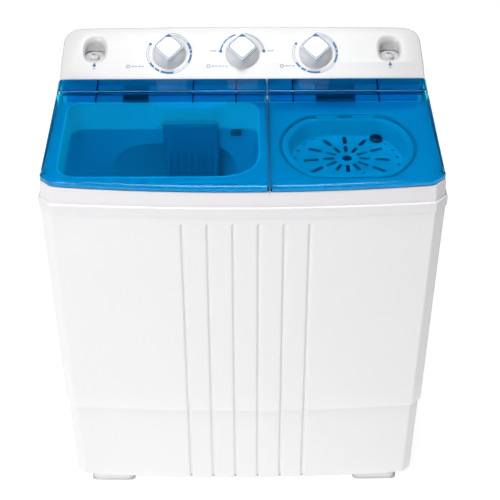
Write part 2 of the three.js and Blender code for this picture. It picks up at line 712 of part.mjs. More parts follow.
// The brake shoe swings onto the drum when the spin lid is opened.
const BRAKE = { x: SPIN.x + 62, y: 22, z0: 212, z1: 222 };
const SHOE_FACE = SPIN.x + 50; // 5 clear of the drum
piece(
  'brake_arm',
  join(
    box(BRAKE.x - 6, BRAKE.x + 6, SPIN.y - 16, BRAKE.y + 8, BRAKE.z0, BRAKE.z1),
    box(SHOE_FACE, BRAKE.x - 5, SPIN.y - 12, SPIN.y + 12, BRAKE.z0 - 2, BRAKE.z1 + 2),
    upright(4, BRAKE.z0 - 14, BRAKE.z1 + 4, BRAKE.x, BRAKE.y, 12),
  ),
  ZINC,
);

// ---------------------------------------- drain valve, hoses and outlet
function valveBody() {
  return cut(
    join(
      upright(VALVE.radius, VALVE.z0, VALVE.z1, VALVE.x, VALVE.y, 24),
      upright(9, VALVE.z1 - 1, VALVE.z1 + 14, VALVE.x, VALVE.y, 16),
      alongY(13, VALVE.y - 43, VALVE.y, VALVE.x, VALVE.z1 - 20),
      across(13, VALVE.x, VALVE.x + 46, VALVE.y, VALVE.z0 + 16),
      upright(10, FOOT_HEIGHT + FLOOR + GAP, VALVE.z0 + 2, VALVE.x, VALVE.y, 12),
    ),
    upright(VALVE.radius - 3, VALVE.z0 + 3, VALVE.z1 - 3, VALVE.x, VALVE.y, 20),
    upright(5, VALVE.z0 + 10, VALVE.z1 + 20, VALVE.x, VALVE.y, 12),
    alongY(10, VALVE.y - 50, VALVE.y - 10, VALVE.x, VALVE.z1 - 20),
    across(10, VALVE.x + 10, VALVE.x + 50, VALVE.y, VALVE.z0 + 16),
  );
}

piece('drain_valve_body', valveBody(), GREY);
piece(
  'drain_valve_plunger',
  join(
    upright(VALVE.radius - 8, VALVE.z0 + 8, VALVE.z0 + 16, VALVE.x, VALVE.y, 20),
    upright(4, VALVE.z0 + 15, 690, VALVE.x, VALVE.y, 8),
  ),
  BLUE,
);
piece('wash_drain_hose', tube([
  [WASH_DRAIN.x, WASH_DRAIN.y, WASH_DRAIN.z - GAP], [WASH_DRAIN.x, WASH_DRAIN.y, 262],
  [-12, -20, 225], [20, 20, 170],
  [VALVE.x - 6, VALVE.y - 74, 138], [VALVE.x, VALVE.y - 54, 131], [VALVE.x, VALVE.y - 44.5, 130],
], 13, 20, 5), BLACK);
piece('outlet_hose', tube([
  [VALVE.x + 46 + GAP, VALVE.y, VALVE.z0 + 16], [VALVE.x + 56, VALVE.y, 105.8],
  [170, 128, 96], [220, 124, 84],
  [237, 136, 80.5], [OUTLET.x, 147, OUTLET.z],
], 13, 16, 5), BLACK);
const pocketWallY = BODY.back - BASE_INSET - POCKET.depth - POCKET.wall;
piece(
  'drain_outlet',
  cut(
    join(
      alongY(OUTLET.radius, 151, BODY.back - BASE_INSET - 2, OUTLET.x, OUTLET.z),
      alongY(OUTLET.radius + 4, pocketWallY - 6, pocketWallY - GAP, OUTLET.x, OUTLET.z),
    ),
    alongY(OUTLET.bore, 140, FAR, OUTLET.x, OUTLET.z),
  ),
  GREY,
);
piece('capacitor', upright(20, FOOT_HEIGHT + FLOOR + GAP, 96, 120, 168, 20), BLACK);
piece('lid_switch', box(226, 250, 84, 104, 664, TUB_TOP), BLACK);

// ---------------------------------------- console
function faceOutline(inset) {
  const half = CONSOLE.half - inset;
  const top = CONSOLE.length - inset;
  const shape = new THREE.Shape();
  shape.moveTo(-half, -80);
  shape.lineTo(half, -80);
  shape.lineTo(half - 4, top - 38);
  shape.bezierCurveTo(half - 4, top - 20, half - 14, top - 5, half - 38, top - 5);
  shape.quadraticCurveTo(0, top + 5, -half + 38, top - 5);
  shape.bezierCurveTo(-half + 14, top - 5, -half + 4, top - 20, -half + 4, top - 38);
  shape.closePath();
  return slab(shape, -120, 20, 8).applyMatrix4(consoleFace.matrix);
}

const rise = (y) => CONSOLE.edgeZ + (y - CONSOLE.front) * Math.tan(CONSOLE.slope);

function consoleFront() {
  const { half, front, back, wall } = CONSOLE;
  const foot = DECK_Z + GAP;
  const drop = wall / Math.cos(CONSOLE.slope);
  const outer = common(
    sideProfile([[front, foot], [back, foot], [back, rise(back)], [front, rise(front)]], -half, half),
    faceOutline(0),
  );
  const inner = common(
    sideProfile([
      [front + wall, foot - 5], [back - wall, foot - 5], [back - wall, rise(back - wall) - drop],
      [front + wall, rise(front + wall) - drop],
    ], -half + wall, half - wall),
    faceOutline(wall),
  );
  const pockets = [-INLET.x, INLET.x].map((x) =>
    common(upright(INLET.pocket + 3, INLET.floorZ - 3, 800, x, INLET.pocketY, 24), outer));
  const shafts = [-1, 0, 1].map((i) =>
    upright(5, -20, 20, i * KNOB.pitch, KNOB.v, 16).applyMatrix4(consoleFace.matrix));
  const channels = WATER_OUTLETS.map(([x0, x1]) =>
    box(x0 + 6, x1 - 6, front - 1, front + wall + 1, DECK_Z + 2, HOUSING.top - 1));
  return cut(
    join(cut(outer, inner), ...pockets),
    ...[-INLET.x, INLET.x].map((x) => upright(INLET.pocket, INLET.floorZ, 800, x, INLET.pocketY, 24)),
    ...[-INLET.x, INLET.x].map((x) => upright(INLET.pipe + GAP, 700, 800, x, INLET.y, 20)),
    ...shafts,
    ...channels,
    box(-250, 250, back - wall - 1, back + 1, 705, 748),
  );
}

piece('console_front', consoleFront(), WHITE);
const CONSOLE_SCREWS = [[-262, 726], [262, 726]];
piece(
  'console_back',
  cut(
    box(-272, 272, CONSOLE.back + GAP, BODY.back - 0.2, 699, 753),
    ...CONSOLE_SCREWS.map(([x, z]) => box(x - 3, x + 3, CONSOLE.back, FAR, z - 3, z + 3)),
  ),
  WHITE,
);

for (const [side, x] of [['left', -INLET.x], ['right', INLET.x]]) {
  const inward = -Math.sign(x);
  const [spout] = WATER_OUTLETS.filter(([x0]) => Math.sign(x0) === Math.sign(x));
  const outletX = (spout[0] + spout[1]) / 2;
  const nozzle = turned([
    [0, 718], [INLET.pipe, 718], [INLET.pipe, INLET.top - 3], [INLET.pipe - 1, INLET.top],
    [INLET.bore, INLET.top], [INLET.bore, 722], [0, 722],
  ], x, INLET.y, 20);
  const run = tube([
    [x, INLET.y, 721], [x, INLET.y, 714], [x + inward * 12, INLET.y - 6, 704],
    [(x + outletX) / 2, 140, 698.5],
    [outletX, 124, 698.5], [outletX, 114, 698.5],
  ], 5.4, 10, 4);
  piece(`water_inlet_${side}`, join(nozzle, run), WHITE);
}

// ---------------------------------------- knobs and what they turn
const ring = (radius, z, count) =>
  Array.from({ length: count }, (_, i) => {
    const angle = (i * 2 * Math.PI) / count;
    return new THREE.Vector3(radius * Math.cos(angle), radius * Math.sin(angle), z);
  });

// A round skirt that blends up into a square cap set cornerwise.
function knobBody() {
  const blend = new ConvexGeometry([...ring(KNOB.base - 4, 11, 28), ...ring(KNOB.corner, KNOB.height, 4)]);
  const cap = new ConvexGeometry([
    ...ring(KNOB.corner, KNOB.height, 4), ...ring(KNOB.corner - 2, KNOB.height + KNOB.cap, 4),
  ]);
  const skirt = upright(KNOB.base, 1.2, 4, 0, 0, 28);
  const flank = upright(KNOB.base, 4, 11, 0, 0, 28, KNOB.base - 4);
  return cut(join(skirt, flank, blend, cap), upright(3.3, 0, 16, 0, 0, 12));
}

const KNOBS = [['wash_timer', -1], ['wash_selector', 0], ['spin_timer', 1]];
for (const [name, i] of KNOBS) {
  const place = (mesh) => mesh.position.set(i * KNOB.pitch, KNOB.v, 0);
  place(piece(`${name}_knob`, knobBody(), WHITE, consoleFace));
  place(piece(`${name}_shaft`, upright(3, -8, 15.5, 0, 0, 12), STEEL, consoleFace));
  const half = name === 'wash_selector' ? 18 : 22;
  place(piece(name, cut(
    box(-half, half, -20, 20, -32, -5),
    upright(4, -9, 0, 0, 0, 12),
  ), name === 'wash_selector' ? GREY : BLACK, consoleFace));
}

// ---------------------------------------- lids
const lidTop = (y) => {
  const start = BODY.front + 3;
  return LID.frontZ + ((y - start) * (LID.hingeZ - LID.frontZ)) / (LID.hingeY - start);
};

// One lid is a shallow tray upside down, open at the back, cut from the plan outline between x0 and x1.
function lidShell(x0, x1) {
  const front = BODY.front;
  const back = LID.hingeY - LID.knuckle - 0.4;
  const foot = DECK_Z + GAP;
  const t = LID.wall;
  const wedge = (y1, down, low) =>
    sideProfile([[front, low], [y1, low], [y1, lidTop(y1) - down], [front, lidTop(front) - down]], x0, x1);
  const outer = common(wedge(back, 0, foot), slab(planShape(LID.inset, LID.bow), foot - 1, 800, 10));
  const inner = common(
    wedge(back + 9, t, foot - 1),
    slab(planShape(LID.inset + t, LID.bow), foot - 2, 800, 10),
    box(x0 + t, x1 - t, -FAR, FAR, 0, 800),
  );
  return cut(outer, inner);
}

const WEB = { reach: LID.knuckle + 1.2, half: 1 };

// A hinge leaf's knuckles: each span is one barrel round the pin, tied to the plate on its own side.
function knuckles(spans, side) {
  const barrels = spans.map(([a, b]) => across(LID.knuckle, a, b, LID.hingeY, LID.pinZ));
  const webs = spans.map(([a, b]) => {
    const middle = LID.hingeY + (side * WEB.reach) / 2;
    const [front, back] = [middle - WEB.reach / 2, middle + WEB.reach / 2];
    return box(a, b, front, back, LID.pinZ - WEB.half, LID.pinZ + WEB.half);
  });
  return [...barrels, ...webs];
}

function hingeStrip(x0, x1, spans) {
  const front = LID.hingeY + LID.knuckle + 0.4;
  const back = LID.stripBack;
  const topFront = LID.hingeZ;
  const plate = sideProfile([
    [front, topFront - LID.wall], [back, LID.backZ - LID.wall], [back, LID.backZ], [front, topFront],
  ], x0, x1);
  const legs = [x0 + 10, (x0 + x1) / 2, x1 - 12].map((x) =>
    box(x, x + 2, front + 3, back - 3, HOUSING.top + GAP, topFront - 1));
  return join(plate, ...legs, ...knuckles(spans, 1));
}

const LIDS = [
  {
    name: 'wash_lid', strip: 'wash_lid_strip', pin: 'wash_lid_hinge_pin',
    x0: -FAR, x1: LID.splitX - LID.splitGap / 2, edge: -324.3,
    lidSpans: [[-253.5, -87], [-10, 41]], stripSpans: [[-323, -254.5], [-86, -11]],
  },
  {
    name: 'spin_lid', strip: 'spin_lid_strip', pin: 'spin_lid_hinge_pin',
    x0: LID.splitX + LID.splitGap / 2, x1: FAR, edge: 324.3,
    lidSpans: [[88.5, 237.5]], stripSpans: [[45, 87.5], [238.5, 323]],
  },
];
for (const lid of LIDS) {
  const x0 = Math.max(lid.x0, -BODY.half);
  const x1 = Math.min(lid.x1, BODY.half);
  const spans = [...lid.lidSpans, ...lid.stripSpans].flat();
  const [start, end] = [Math.min(...spans) - 1, Math.max(...spans) + 1];
  const bore = across(LID.pin + 0.3, start, end, LID.hingeY, LID.pinZ, 8);
  piece(lid.name, cut(
    join(lidShell(x0, x1), ...knuckles(lid.lidSpans, -1)),
    bore,
  ), BLUE_CLEAR);
  const stripX = lid.edge < 0 ? [lid.edge, lid.x1] : [lid.x0, lid.edge];
  piece(lid.strip, cut(hingeStrip(stripX[0], stripX[1], lid.stripSpans), bore), BLUE_CLEAR);
  const pin = across(LID.pin, Math.min(...spans) + 2, Math.max(...spans) - 2, LID.hingeY, LID.pinZ, 8);
  piece(lid.pin, pin, STEEL);
}

// ---------------------------------------- inner spin lid: a dished, slotted safety cover
const SLOTS = {
  spokes: 12, middle: 8, inner: [19, 40], outer: [47, 73], width: 7,
  dots: 24, dotRing: 87, dot: 3.2,
};
const FINGER_HOLE = { ring: 84, angle: THREE.MathUtils.degToRad(50), radius: 8 };

const DISH_SETBACK = 10; // lets the dish swing out past the opening's front edge

function spinInnerLid() {
  const top = SPIN.ledgeZ + GAP + 2.5;
  const t = 2.5;
  const at = (profile) => turned(profile, SPIN.x, SPIN.y, 40);
  const dish = common(
    at([
      [0, SPIN.dishZ + SPIN.dome], [60, SPIN.dishZ + 4], [SPIN.dishFoot, SPIN.dishZ],
      [SPIN.dishTop, top], [0, top],
    ]),
    box(-FAR, FAR, SPIN.front + DISH_SETBACK, SPIN.hingeY - 6, 0, 800),
  );
  const hollow = common(
    at([
      [0, SPIN.dishZ + SPIN.dome + t], [60, SPIN.dishZ + 4 + t], [SPIN.dishFoot - t, SPIN.dishZ + t],
      [SPIN.dishTop - t, top + 1], [0, top + 1],
    ]),
    box(-FAR, FAR, SPIN.front + DISH_SETBACK + t, SPIN.hingeY - 6 - t, 0, 800),
  );
  const knuckle = across(
    INNER_HINGE.radius, SPIN.x - INNER_HINGE.half, SPIN.x + INNER_HINGE.half, SPIN.hingeY, INNER_HINGE.z,
  );
  const pinHole = (side) => across(
    INNER_HINGE.pin + 0.3, SPIN.x + side * INNER_HINGE.half - 7, SPIN.x + side * INNER_HINGE.half + 7,
    SPIN.hingeY, INNER_HINGE.z, 8,
  );
  const fingerX = SPIN.x + FINGER_HOLE.ring * Math.cos(FINGER_HOLE.angle);
  const fingerY = SPIN.y + FINGER_HOLE.ring * Math.sin(FINGER_HOLE.angle);
  const cuts = [
    upright(SLOTS.middle, 0, 800, SPIN.x, SPIN.y, 16),
    upright(FINGER_HOLE.radius, 0, 675, fingerX, fingerY, 12),
  ];
  for (const side of [-1, 1]) { // room for the frame's ears
    const near = SPIN.x + side * (INNER_HINGE.half + 0.2);
    const far = near + side * (INNER_HINGE.ear + 2);
    cuts.push(between(near, far, SPIN.hingeY - 6, SPIN.hingeY + 6, SPIN.ledgeZ - 1, 700));
  }
  for (let i = 0; i < SLOTS.spokes; i += 1) {
    for (const [r0, r1] of [SLOTS.inner, SLOTS.outer]) {
      const slot = box(r0, r1, -SLOTS.width / 2, SLOTS.width / 2, 600, 675);
      cuts.push(slot.rotateZ((i * 2 * Math.PI) / SLOTS.spokes).translate(SPIN.x, SPIN.y, 0));
    }
  }
  for (let i = 0; i < SLOTS.dots; i += 1) {
    const angle = ((i + 0.5) * 2 * Math.PI) / SLOTS.dots;
    const x = SPIN.x + SLOTS.dotRing * Math.cos(angle);
    const y = SPIN.y + SLOTS.dotRing * Math.sin(angle);
    const clear = y < SPIN.hingeY - 14 && y > SPIN.front + 14 && Math.hypot(x - fingerX, y - fingerY) > 14;
    if (clear) cuts.push(upright(SLOTS.dot, 600, 675, x, y, 6));
  }
  return cut(
    join(
      spinDisc(SPIN.lidRadius, SPIN.front, SPIN.hingeY - 2.2, top - t, top),
      dish,
      knuckle,
    ),
    hollow,
    pinHole(-1),
    pinHole(1),
    ...cuts,
  );
}

piece('spin_inner_lid', spinInnerLid(), WHITE);

export default washer;
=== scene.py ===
"""Twin tub washer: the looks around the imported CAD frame. Shapes are in millimetres, made in metres."""

import json
import math

import bmesh
import bpy
from mathutils import Matrix, Vector


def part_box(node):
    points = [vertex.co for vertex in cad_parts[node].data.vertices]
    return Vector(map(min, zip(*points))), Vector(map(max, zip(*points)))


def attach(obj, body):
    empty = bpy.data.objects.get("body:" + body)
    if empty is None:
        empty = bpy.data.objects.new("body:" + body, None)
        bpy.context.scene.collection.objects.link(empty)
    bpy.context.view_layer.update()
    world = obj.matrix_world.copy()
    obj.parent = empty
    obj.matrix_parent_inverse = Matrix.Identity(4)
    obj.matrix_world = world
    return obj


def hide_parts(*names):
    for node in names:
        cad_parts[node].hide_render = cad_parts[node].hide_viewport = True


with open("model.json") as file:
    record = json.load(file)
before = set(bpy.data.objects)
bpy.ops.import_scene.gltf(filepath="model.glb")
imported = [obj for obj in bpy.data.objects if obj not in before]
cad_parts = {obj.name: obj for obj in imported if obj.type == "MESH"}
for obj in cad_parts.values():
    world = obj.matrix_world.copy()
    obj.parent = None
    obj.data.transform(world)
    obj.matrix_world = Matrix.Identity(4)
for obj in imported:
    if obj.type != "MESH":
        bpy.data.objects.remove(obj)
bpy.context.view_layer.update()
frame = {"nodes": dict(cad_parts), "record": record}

MM = 0.001
BODY = "machine"


def box_mm(node):
    low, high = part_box(node)
    return Vector(low) / MM, Vector(high) / MM


# ---------------------------------------------------------------- camera, lights and floor
def add_camera():
    data = bpy.data.cameras.new("camera")
    data.lens = 97.2
    data.sensor_width = 36
    data.clip_end = 50
    camera = bpy.data.objects.new("camera", data)
    camera.location = (-0.00125, -1.9452, 1.9581)
    camera.rotation_euler = (math.radians(90 - 38.36), 0, math.radians(-0.41))
    bpy.context.collection.objects.link(camera)
    bpy.context.scene.camera = camera


def add_area(name, location, target, size, power, colour=(1, 1, 1)):
    data = bpy.data.lights.new(name, "AREA")
    data.shape = "DISK"
    data.size = size
    data.energy = power
    data.color = colour
    light = bpy.data.objects.new(name, data)
    light.location = location
    aim = Vector(target) - Vector(location)
    light.rotation_euler = aim.to_track_quat("-Z", "Y").to_euler()
    bpy.context.collection.objects.link(light)


def add_world(strength, behind):
    """An even white studio, dark high up behind the machine so that the sloping lids don't mirror it."""
    world = bpy.data.worlds.new("studio")
    world.use_nodes = True
    tree = world.node_tree
    towards = tree.nodes.new("ShaderNodeVectorMath")
    towards.operation = "DOT_PRODUCT"
    towards.inputs[1].default_value = (0, 0.743, 0.669)
    fade = tree.nodes.new("ShaderNodeMapRange")
    fade.interpolation_type = "SMOOTHSTEP"
    fade.inputs["From Min"].default_value = 0.85
    fade.inputs["From Max"].default_value = 0.95
    fade.inputs["To Min"].default_value = strength
    fade.inputs["To Max"].default_value = behind
    place = tree.nodes.new("ShaderNodeTexCoord")
    tree.links.new(place.outputs["Generated"], towards.inputs[0])
    tree.links.new(towards.outputs["Value"], fade.inputs["Value"])
    tree.links.new(fade.outputs["Result"], tree.nodes["Background"].inputs["Strength"])
    bpy.context.scene.world = world


# ---------------------------------------------------------------- materials
class Nodes:
    """A short way to add linked nodes to one material."""

    def __init__(self, name):
        self.material = bpy.data.materials.new(name)
        self.material.use_nodes = True
        self.tree = self.material.node_tree
        self.shader = self.tree.nodes["Principled BSDF"]

    def add(self, kind, **inputs):
        node = self.tree.nodes.new(kind)
        for key, value in inputs.items():
            self.set(node, key.replace("_", " "), value)
        return node

    def set(self, node, key, value):
        socket = node.inputs[key]
        if isinstance(value, bpy.types.NodeSocket):
            self.tree.links.new(value, socket)
        else:
            socket.default_value = value

    def noise(self, scale, detail=2.0):
        place = self.add("ShaderNodeTexCoord").outputs["Object"]
        return self.add("ShaderNodeTexNoise", Vector=place, Scale=scale, Detail=detail).outputs["Fac"]

    def between(self, factor, low, high):
        node = self.add("ShaderNodeMapRange", Value=factor)
        node.inputs["From Min"].default_value = 0.3
        node.inputs["From Max"].default_value = 0.7
        node.inputs["To Min"].default_value = low
        node.inputs["To Max"].default_value = high
        return node.outputs["Result"]

    def blend(self, factor, first, second):
        node = self.tree.nodes.new("ShaderNodeMix")
        node.data_type = "RGBA"
        self.tree.links.new(factor, node.inputs[0])
        node.inputs[6].default_value = (*first, 1)
        node.inputs[7].default_value = (*second, 1)
        return node.outputs[2]

    def bump(self, height, strength, distance):
        node = self.add("ShaderNodeBump", Height=height, Strength=strength, Distance=distance)
        self.tree.links.new(node.outputs["Normal"], self.shader.inputs["Normal"])


def plastic(name, colour, roughness=0.35, mottle=0.02, grain=0.06, coat=0.0, glow=0.0):
    """Moulded plastic: slow variation of colour and gloss, and a fine grain. Glow is emission: painted
    light that lightens parts sitting in shade, and the floor's even white.
    """
    made = Nodes(name)
    slow = made.noise(9, 3)
    fine = made.noise(1400, 2)
    darker = tuple(c * (1 - mottle) for c in colour)
    made.set(made.shader, "Base Color", made.blend(slow, darker, colour))
    made.set(made.shader, "Roughness", made.between(made.noise(38, 3), roughness - 0.04, roughness + 0.05))
    made.shader.inputs["Coat Weight"].default_value = coat
    made.shader.inputs["Coat Roughness"].default_value = 0.12
    made.shader.inputs["Emission Color"].default_value = (1, 1, 1, 1)
    made.shader.inputs["Emission Strength"].default_value = glow
    made.bump(fine, grain, 0.0004)
    return made.material


def clear_tint(name, colour, roughness=0.03):
    """See-through moulded plastic, tinted, with the slight waviness of a moulded sheet."""
    made = Nodes(name)
    made.set(made.shader, "Base Color", (*colour, 1))
    made.shader.inputs["Transmission Weight"].default_value = 1
    made.shader.inputs["IOR"].default_value = 1.32
    made.set(made.shader, "Roughness", made.between(made.noise(30, 2), roughness, roughness + 0.03))
    made.bump(made.noise(26, 2), 0.05, 0.0006)
    return made.material


def brushed(name, colour, roughness=0.35, stretch=(1, 1, 30)):
    """Bare metal with fine drawn lines."""
    made = Nodes(name)
    place = made.add("ShaderNodeTexCoord").outputs["Object"]
    mapping = made.add("ShaderNodeMapping", Vector=place)
    mapping.inputs["Scale"].default_value = stretch
    stretched = mapping.outputs["Vector"]
    lines = made.add("ShaderNodeTexNoise", Vector=stretched, Scale=90.0, Detail=3.0).outputs["Fac"]
    darker = tuple(c * 0.82 for c in colour)
    made.set(made.shader, "Base Color", made.blend(lines, darker, colour))
    made.set(made.shader, "Roughness", made.between(lines, roughness - 0.08, roughness + 0.1))
    made.shader.inputs["Metallic"].default_value = 1
    made.bump(lines, 0.08, 0.0003)
    return made.material


def rubber(name, colour):
    made = Nodes(name)
    fine = made.noise(700, 4)
    lighter = tuple(c * 1.5 + 0.01 for c in colour)
    made.set(made.shader, "Base Color", made.blend(fine, colour, lighter))
    made.set(made.shader, "Roughness", made.between(made.noise(60), 0.6, 0.8))
    made.bump(fine, 0.25, 0.0006)
    return made.material


WHITE = plastic("white_plastic", (0.80, 0.80, 0.80), 0.36, coat=0.2)
# Painted shade: the console is the cabinet's white plastic, made darker because its sloping face catches
# more of the lamps.
CONSOLE = plastic("console_plastic", (0.62, 0.62, 0.625), 0.36, coat=0.2)
APRON = plastic("apron_plastic", (0.77, 0.755, 0.78), 0.36, coat=0.2)
# Painted shade: the top frame's white, made darker so that the deck seen through the lids stays dim under
# the strong overhead lamp.
DECK = plastic("deck_plastic", (0.50, 0.505, 0.52), 0.42)
# Painted light: the top frame's white made lighter and glowing, for its walls in shade under the lids: the
# wash collar, the filter hood and the channel's front.
COLLAR = plastic("collar_plastic", (0.90, 0.91, 0.93), 0.42, glow=0.14)
# Painted light: a faint glow lightens the knobs' shaded sides.
KNOB = plastic("knob_plastic", (0.80, 0.80, 0.81), 0.3, coat=0.3, glow=0.08)
# Painted shade: the tub's white tinted cool blue, for the deeper blue of its shaded inside under the lids.
TUB = plastic("tub_plastic", (0.80, 0.83, 0.94), 0.45)
# Painted shade: the filter made darker and bluer, as it sits in shade under the hood.
FILTER = plastic("filter_plastic", (0.42, 0.44, 0.58), 0.45)
# Painted light: the glow lightens the pulsator at the shaded bottom of the tub.
PULSATOR = plastic("pulsator_plastic", (0.82, 0.85, 0.95), 0.4, glow=0.24)
FRAMEWORK = plastic("basket_plastic", (0.86, 0.89, 0.93), 0.4)
# Painted shade: a dark colour, with a faint glow, for the shade in the water outlets' recesses; also the
# small latch beside the filter.
OUTLET = plastic("outlet_plastic", (0.20, 0.22, 0.27), 0.5, glow=0.03)
BLUE = plastic("blue_plastic", (0.02, 0.17, 0.36), 0.35)
PRINT = plastic("print_blue", (0.03, 0.13, 0.30), 0.5, grain=0.02)
BAND = plastic("print_bright_blue", (0.012, 0.16, 0.40), 0.5, grain=0.02)
PALE_PRINT = plastic("print_pale_blue", (0.20, 0.25, 0.45), 0.5, grain=0.02)
GREY = plastic("grey_plastic", (0.27, 0.29, 0.31), 0.5)
BLACK = plastic("black_plastic", (0.02, 0.021, 0.023), 0.5)
DARK = plastic("shadow_plastic", (0.09, 0.10, 0.115), 0.6)
CLEAR = clear_tint("blue_clear", (0.006, 0.62, 0.96))
STRIP_CLEAR = clear_tint("blue_clear_strip", (0.005, 0.52, 0.92))
HINGE_CLEAR = clear_tint("blue_clear_hinge", (0.003, 0.28, 0.60))
DEEP_CLEAR = clear_tint("blue_clear_deep", (0.002, 0.12, 0.34))
RUBBER = rubber("rubber", (0.02, 0.02, 0.022))
STEEL = brushed("steel", (0.62, 0.63, 0.65))
ZINC = brushed("zinc", (0.5, 0.51, 0.53), 0.45)
CAN = brushed("motor_can", (0.22, 0.23, 0.25), 0.5, (1, 1, 6))


# ---------------------------------------------------------------- mesh helpers
def new_object(name, points, faces, material):
    """A mesh object from points in millimetres."""
    mesh = bpy.data.meshes.new(name)
    mesh.from_pydata([tuple(c * MM for c in p) for p in points], [], faces)
    made = bpy.data.objects.new(name, mesh)
    bpy.context.collection.objects.link(made)
    mesh.materials.append(material)
    tidy_normals(made)
    return made


def tidy_normals(made):
    work = bmesh.new()
    work.from_mesh(made.data)
    bmesh.ops.remove_doubles(work, verts=work.verts, dist=1e-6)
    bmesh.ops.recalc_face_normals(work, faces=work.faces)
    work.to_mesh(made.data)
    work.free()


def smooth(made, angle=35):
    made.data.shade_smooth()
    made.data.set_sharp_from_angle(angle=math.radians(angle))


def place(made, body, material_slot, replaced=(), angle=35):
    """Finish a piece: its shading, the CAD body that it rides on, and the CAD nodes that it stands for."""
    smooth(made, angle)
    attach(made, body)
    if replaced:
        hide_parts(*replaced)
    return made


def loft(name, rings, material, closed=False, cap_first=False, cap_last=False):
    """A skin over rings that all have the same number of points."""
    count = len(rings[0])
    points = [p for ring in rings for p in ring]
    faces = []
    last = len(rings) if closed else len(rings) - 1
    for i in range(last):
        a = i * count
        b = ((i + 1) % len(rings)) * count
        for j in range(count):
            k = (j + 1) % count
            faces.append((a + j, a + k, b + k, b + j))
    if cap_first:
        faces.append(tuple(range(count)))
    if cap_last:
        start = (len(rings) - 1) * count
        faces.append(tuple(range(start, start + count)))
    return new_object(name, points, faces, material)


def solid(name, rings, material):
    return loft(name, rings, material, cap_first=True, cap_last=True)


def prism(name, outline, z0, z1, material):
    """An upright block: one outline at two heights."""
    return solid(name, [at_height(outline, z) for z in (z0, z1)], material)


def applied(made):
    """Make the modifiers' result the mesh."""
    depsgraph = bpy.context.evaluated_depsgraph_get()
    result = bpy.data.meshes.new_from_object(made.evaluated_get(depsgraph))
    made.modifiers.clear()
    made.data = result
    return made


def boolean(made, others, operation):
    for other in others:
        step = made.modifiers.new("boolean", "BOOLEAN")
        step.object = other
        step.operation = operation
        step.solver = "EXACT"
    applied(made)
    for other in others:
        bpy.data.objects.remove(other, do_unlink=True)
    return made


def cut(made, *others):
    return boolean(made, others, "DIFFERENCE")


def join(made, *others):
    return boolean(made, others, "UNION")


def gather(name, objects):
    """One object out of several that don't touch, or only rest in each other."""
    work = bmesh.new()
    material = objects[0].data.materials[0]
    for other in objects:
        work.from_mesh(other.data)
        bpy.data.objects.remove(other, do_unlink=True)
    mesh = bpy.data.meshes.new(name)
    work.to_mesh(mesh)
    work.free()
    mesh.materials.append(material)
    made = bpy.data.objects.new(name, mesh)
    bpy.context.collection.objects.link(made)
    return made


def bevel(made, width, segments=2, angle=40):
    step = made.modifiers.new("bevel", "BEVEL")
    step.width = width * MM
    step.segments = segments
    step.limit_method = "ANGLE"
    step.angle_limit = math.radians(angle)
    step.use_clamp_overlap = True
    return applied(made)


def box(name, x0, x1, y0, y1, z0, z1, material, edge=0.0, segments=2):
    """A block with rounded edges."""
    made = prism(name, [(x0, y0), (x1, y0), (x1, y1), (x0, y1)], z0, z1, material)
    if edge:
        bevel(made, edge, segments)
    return made


def circle(radius, count, x=0.0, y=0.0, start=0.0):
    steps = [start + 2 * math.pi * i / count for i in range(count)]
    return [(x + radius * math.cos(a), y + radius * math.sin(a)) for a in steps]


def turned(name, profile, x, y, material, count=72):
    """A closed profile of (radius, height) turned about an upright axis, capped where it is on the axis."""
    rings = [[(px, py, z) for px, py in circle(max(r, 0.001), count, x, y)] for r, z in profile]
    return rings_to_turned(name, profile, rings, material)


def rings_to_turned(name, profile, rings, material):
    closed = profile[0][0] > 0 and profile[-1][0] > 0
    return loft(name, rings, material, closed=closed, cap_first=not closed, cap_last=not closed)


def rounded_outline(corners, grow=0.0, steps=8):
    """Corners (x, y, rounding) as an outline, each rounded by a curve that touches both its sides."""
    middle_x = sum(c[0] for c in corners) / len(corners)
    middle_y = sum(c[1] for c in corners) / len(corners)
    grown = []
    for x, y, r in corners:
        moved = Vector((x + math.copysign(grow, x - middle_x), y + math.copysign(grow, y - middle_y)))
        grown.append((moved, max(r + grow, 0.5)))
    points = []
    for i, (corner, r) in enumerate(grown):
        before = grown[i - 1][0]
        after = grown[(i + 1) % len(grown)][0]
        start = corner + (before - corner).normalized() * r
        end = corner + (after - corner).normalized() * r
        for k in range(steps + 1):
            t = k / steps
            points.append(bend(start, corner, end, t))
    return points


def at_height(outline, z):
    return [(x, y, z) for x, y in outline]


def bend(start, corner, stop, t):
    """A point of the curve from start to stop that is drawn towards the corner."""
    return tuple((1 - t) ** 2 * start + 2 * t * (1 - t) * corner + t * t * stop)


def ease(t):
    t = min(max(t, 0.0), 1.0)
    return t * t * (3 - 2 * t)


def mix(a, b, t):
    return a + (b - a) * t


def quarter(steps):
    """(run, rise) of a quarter circle of radius 1, from the edge (0, 0) up and in to (1, 1)."""
    angles = [math.pi / 2 * i / steps for i in range(steps + 1)]
    return [(1 - math.cos(a), math.sin(a)) for a in angles]


def cad_copy(node, name, body, material, material_slot, width=0.8, segments=2, angle=35):
    """A CAD node's own shape with its edges rounded."""
    mesh = frame["nodes"][node].data.copy()
    mesh.materials.clear()
    mesh.materials.append(material)
    made = bpy.data.objects.new(name, mesh)
    bpy.context.collection.objects.link(made)
    work = bmesh.new()
    work.from_mesh(mesh)
    bmesh.ops.remove_doubles(work, verts=work.verts, dist=2e-6)
    bmesh.ops.dissolve_limit(work, angle_limit=math.radians(0.5), verts=work.verts, edges=work.edges)
    work.to_mesh(mesh)
    work.free()
    bevel(made, width, segments, 30)
    return place(made, body, material_slot, [node], angle)


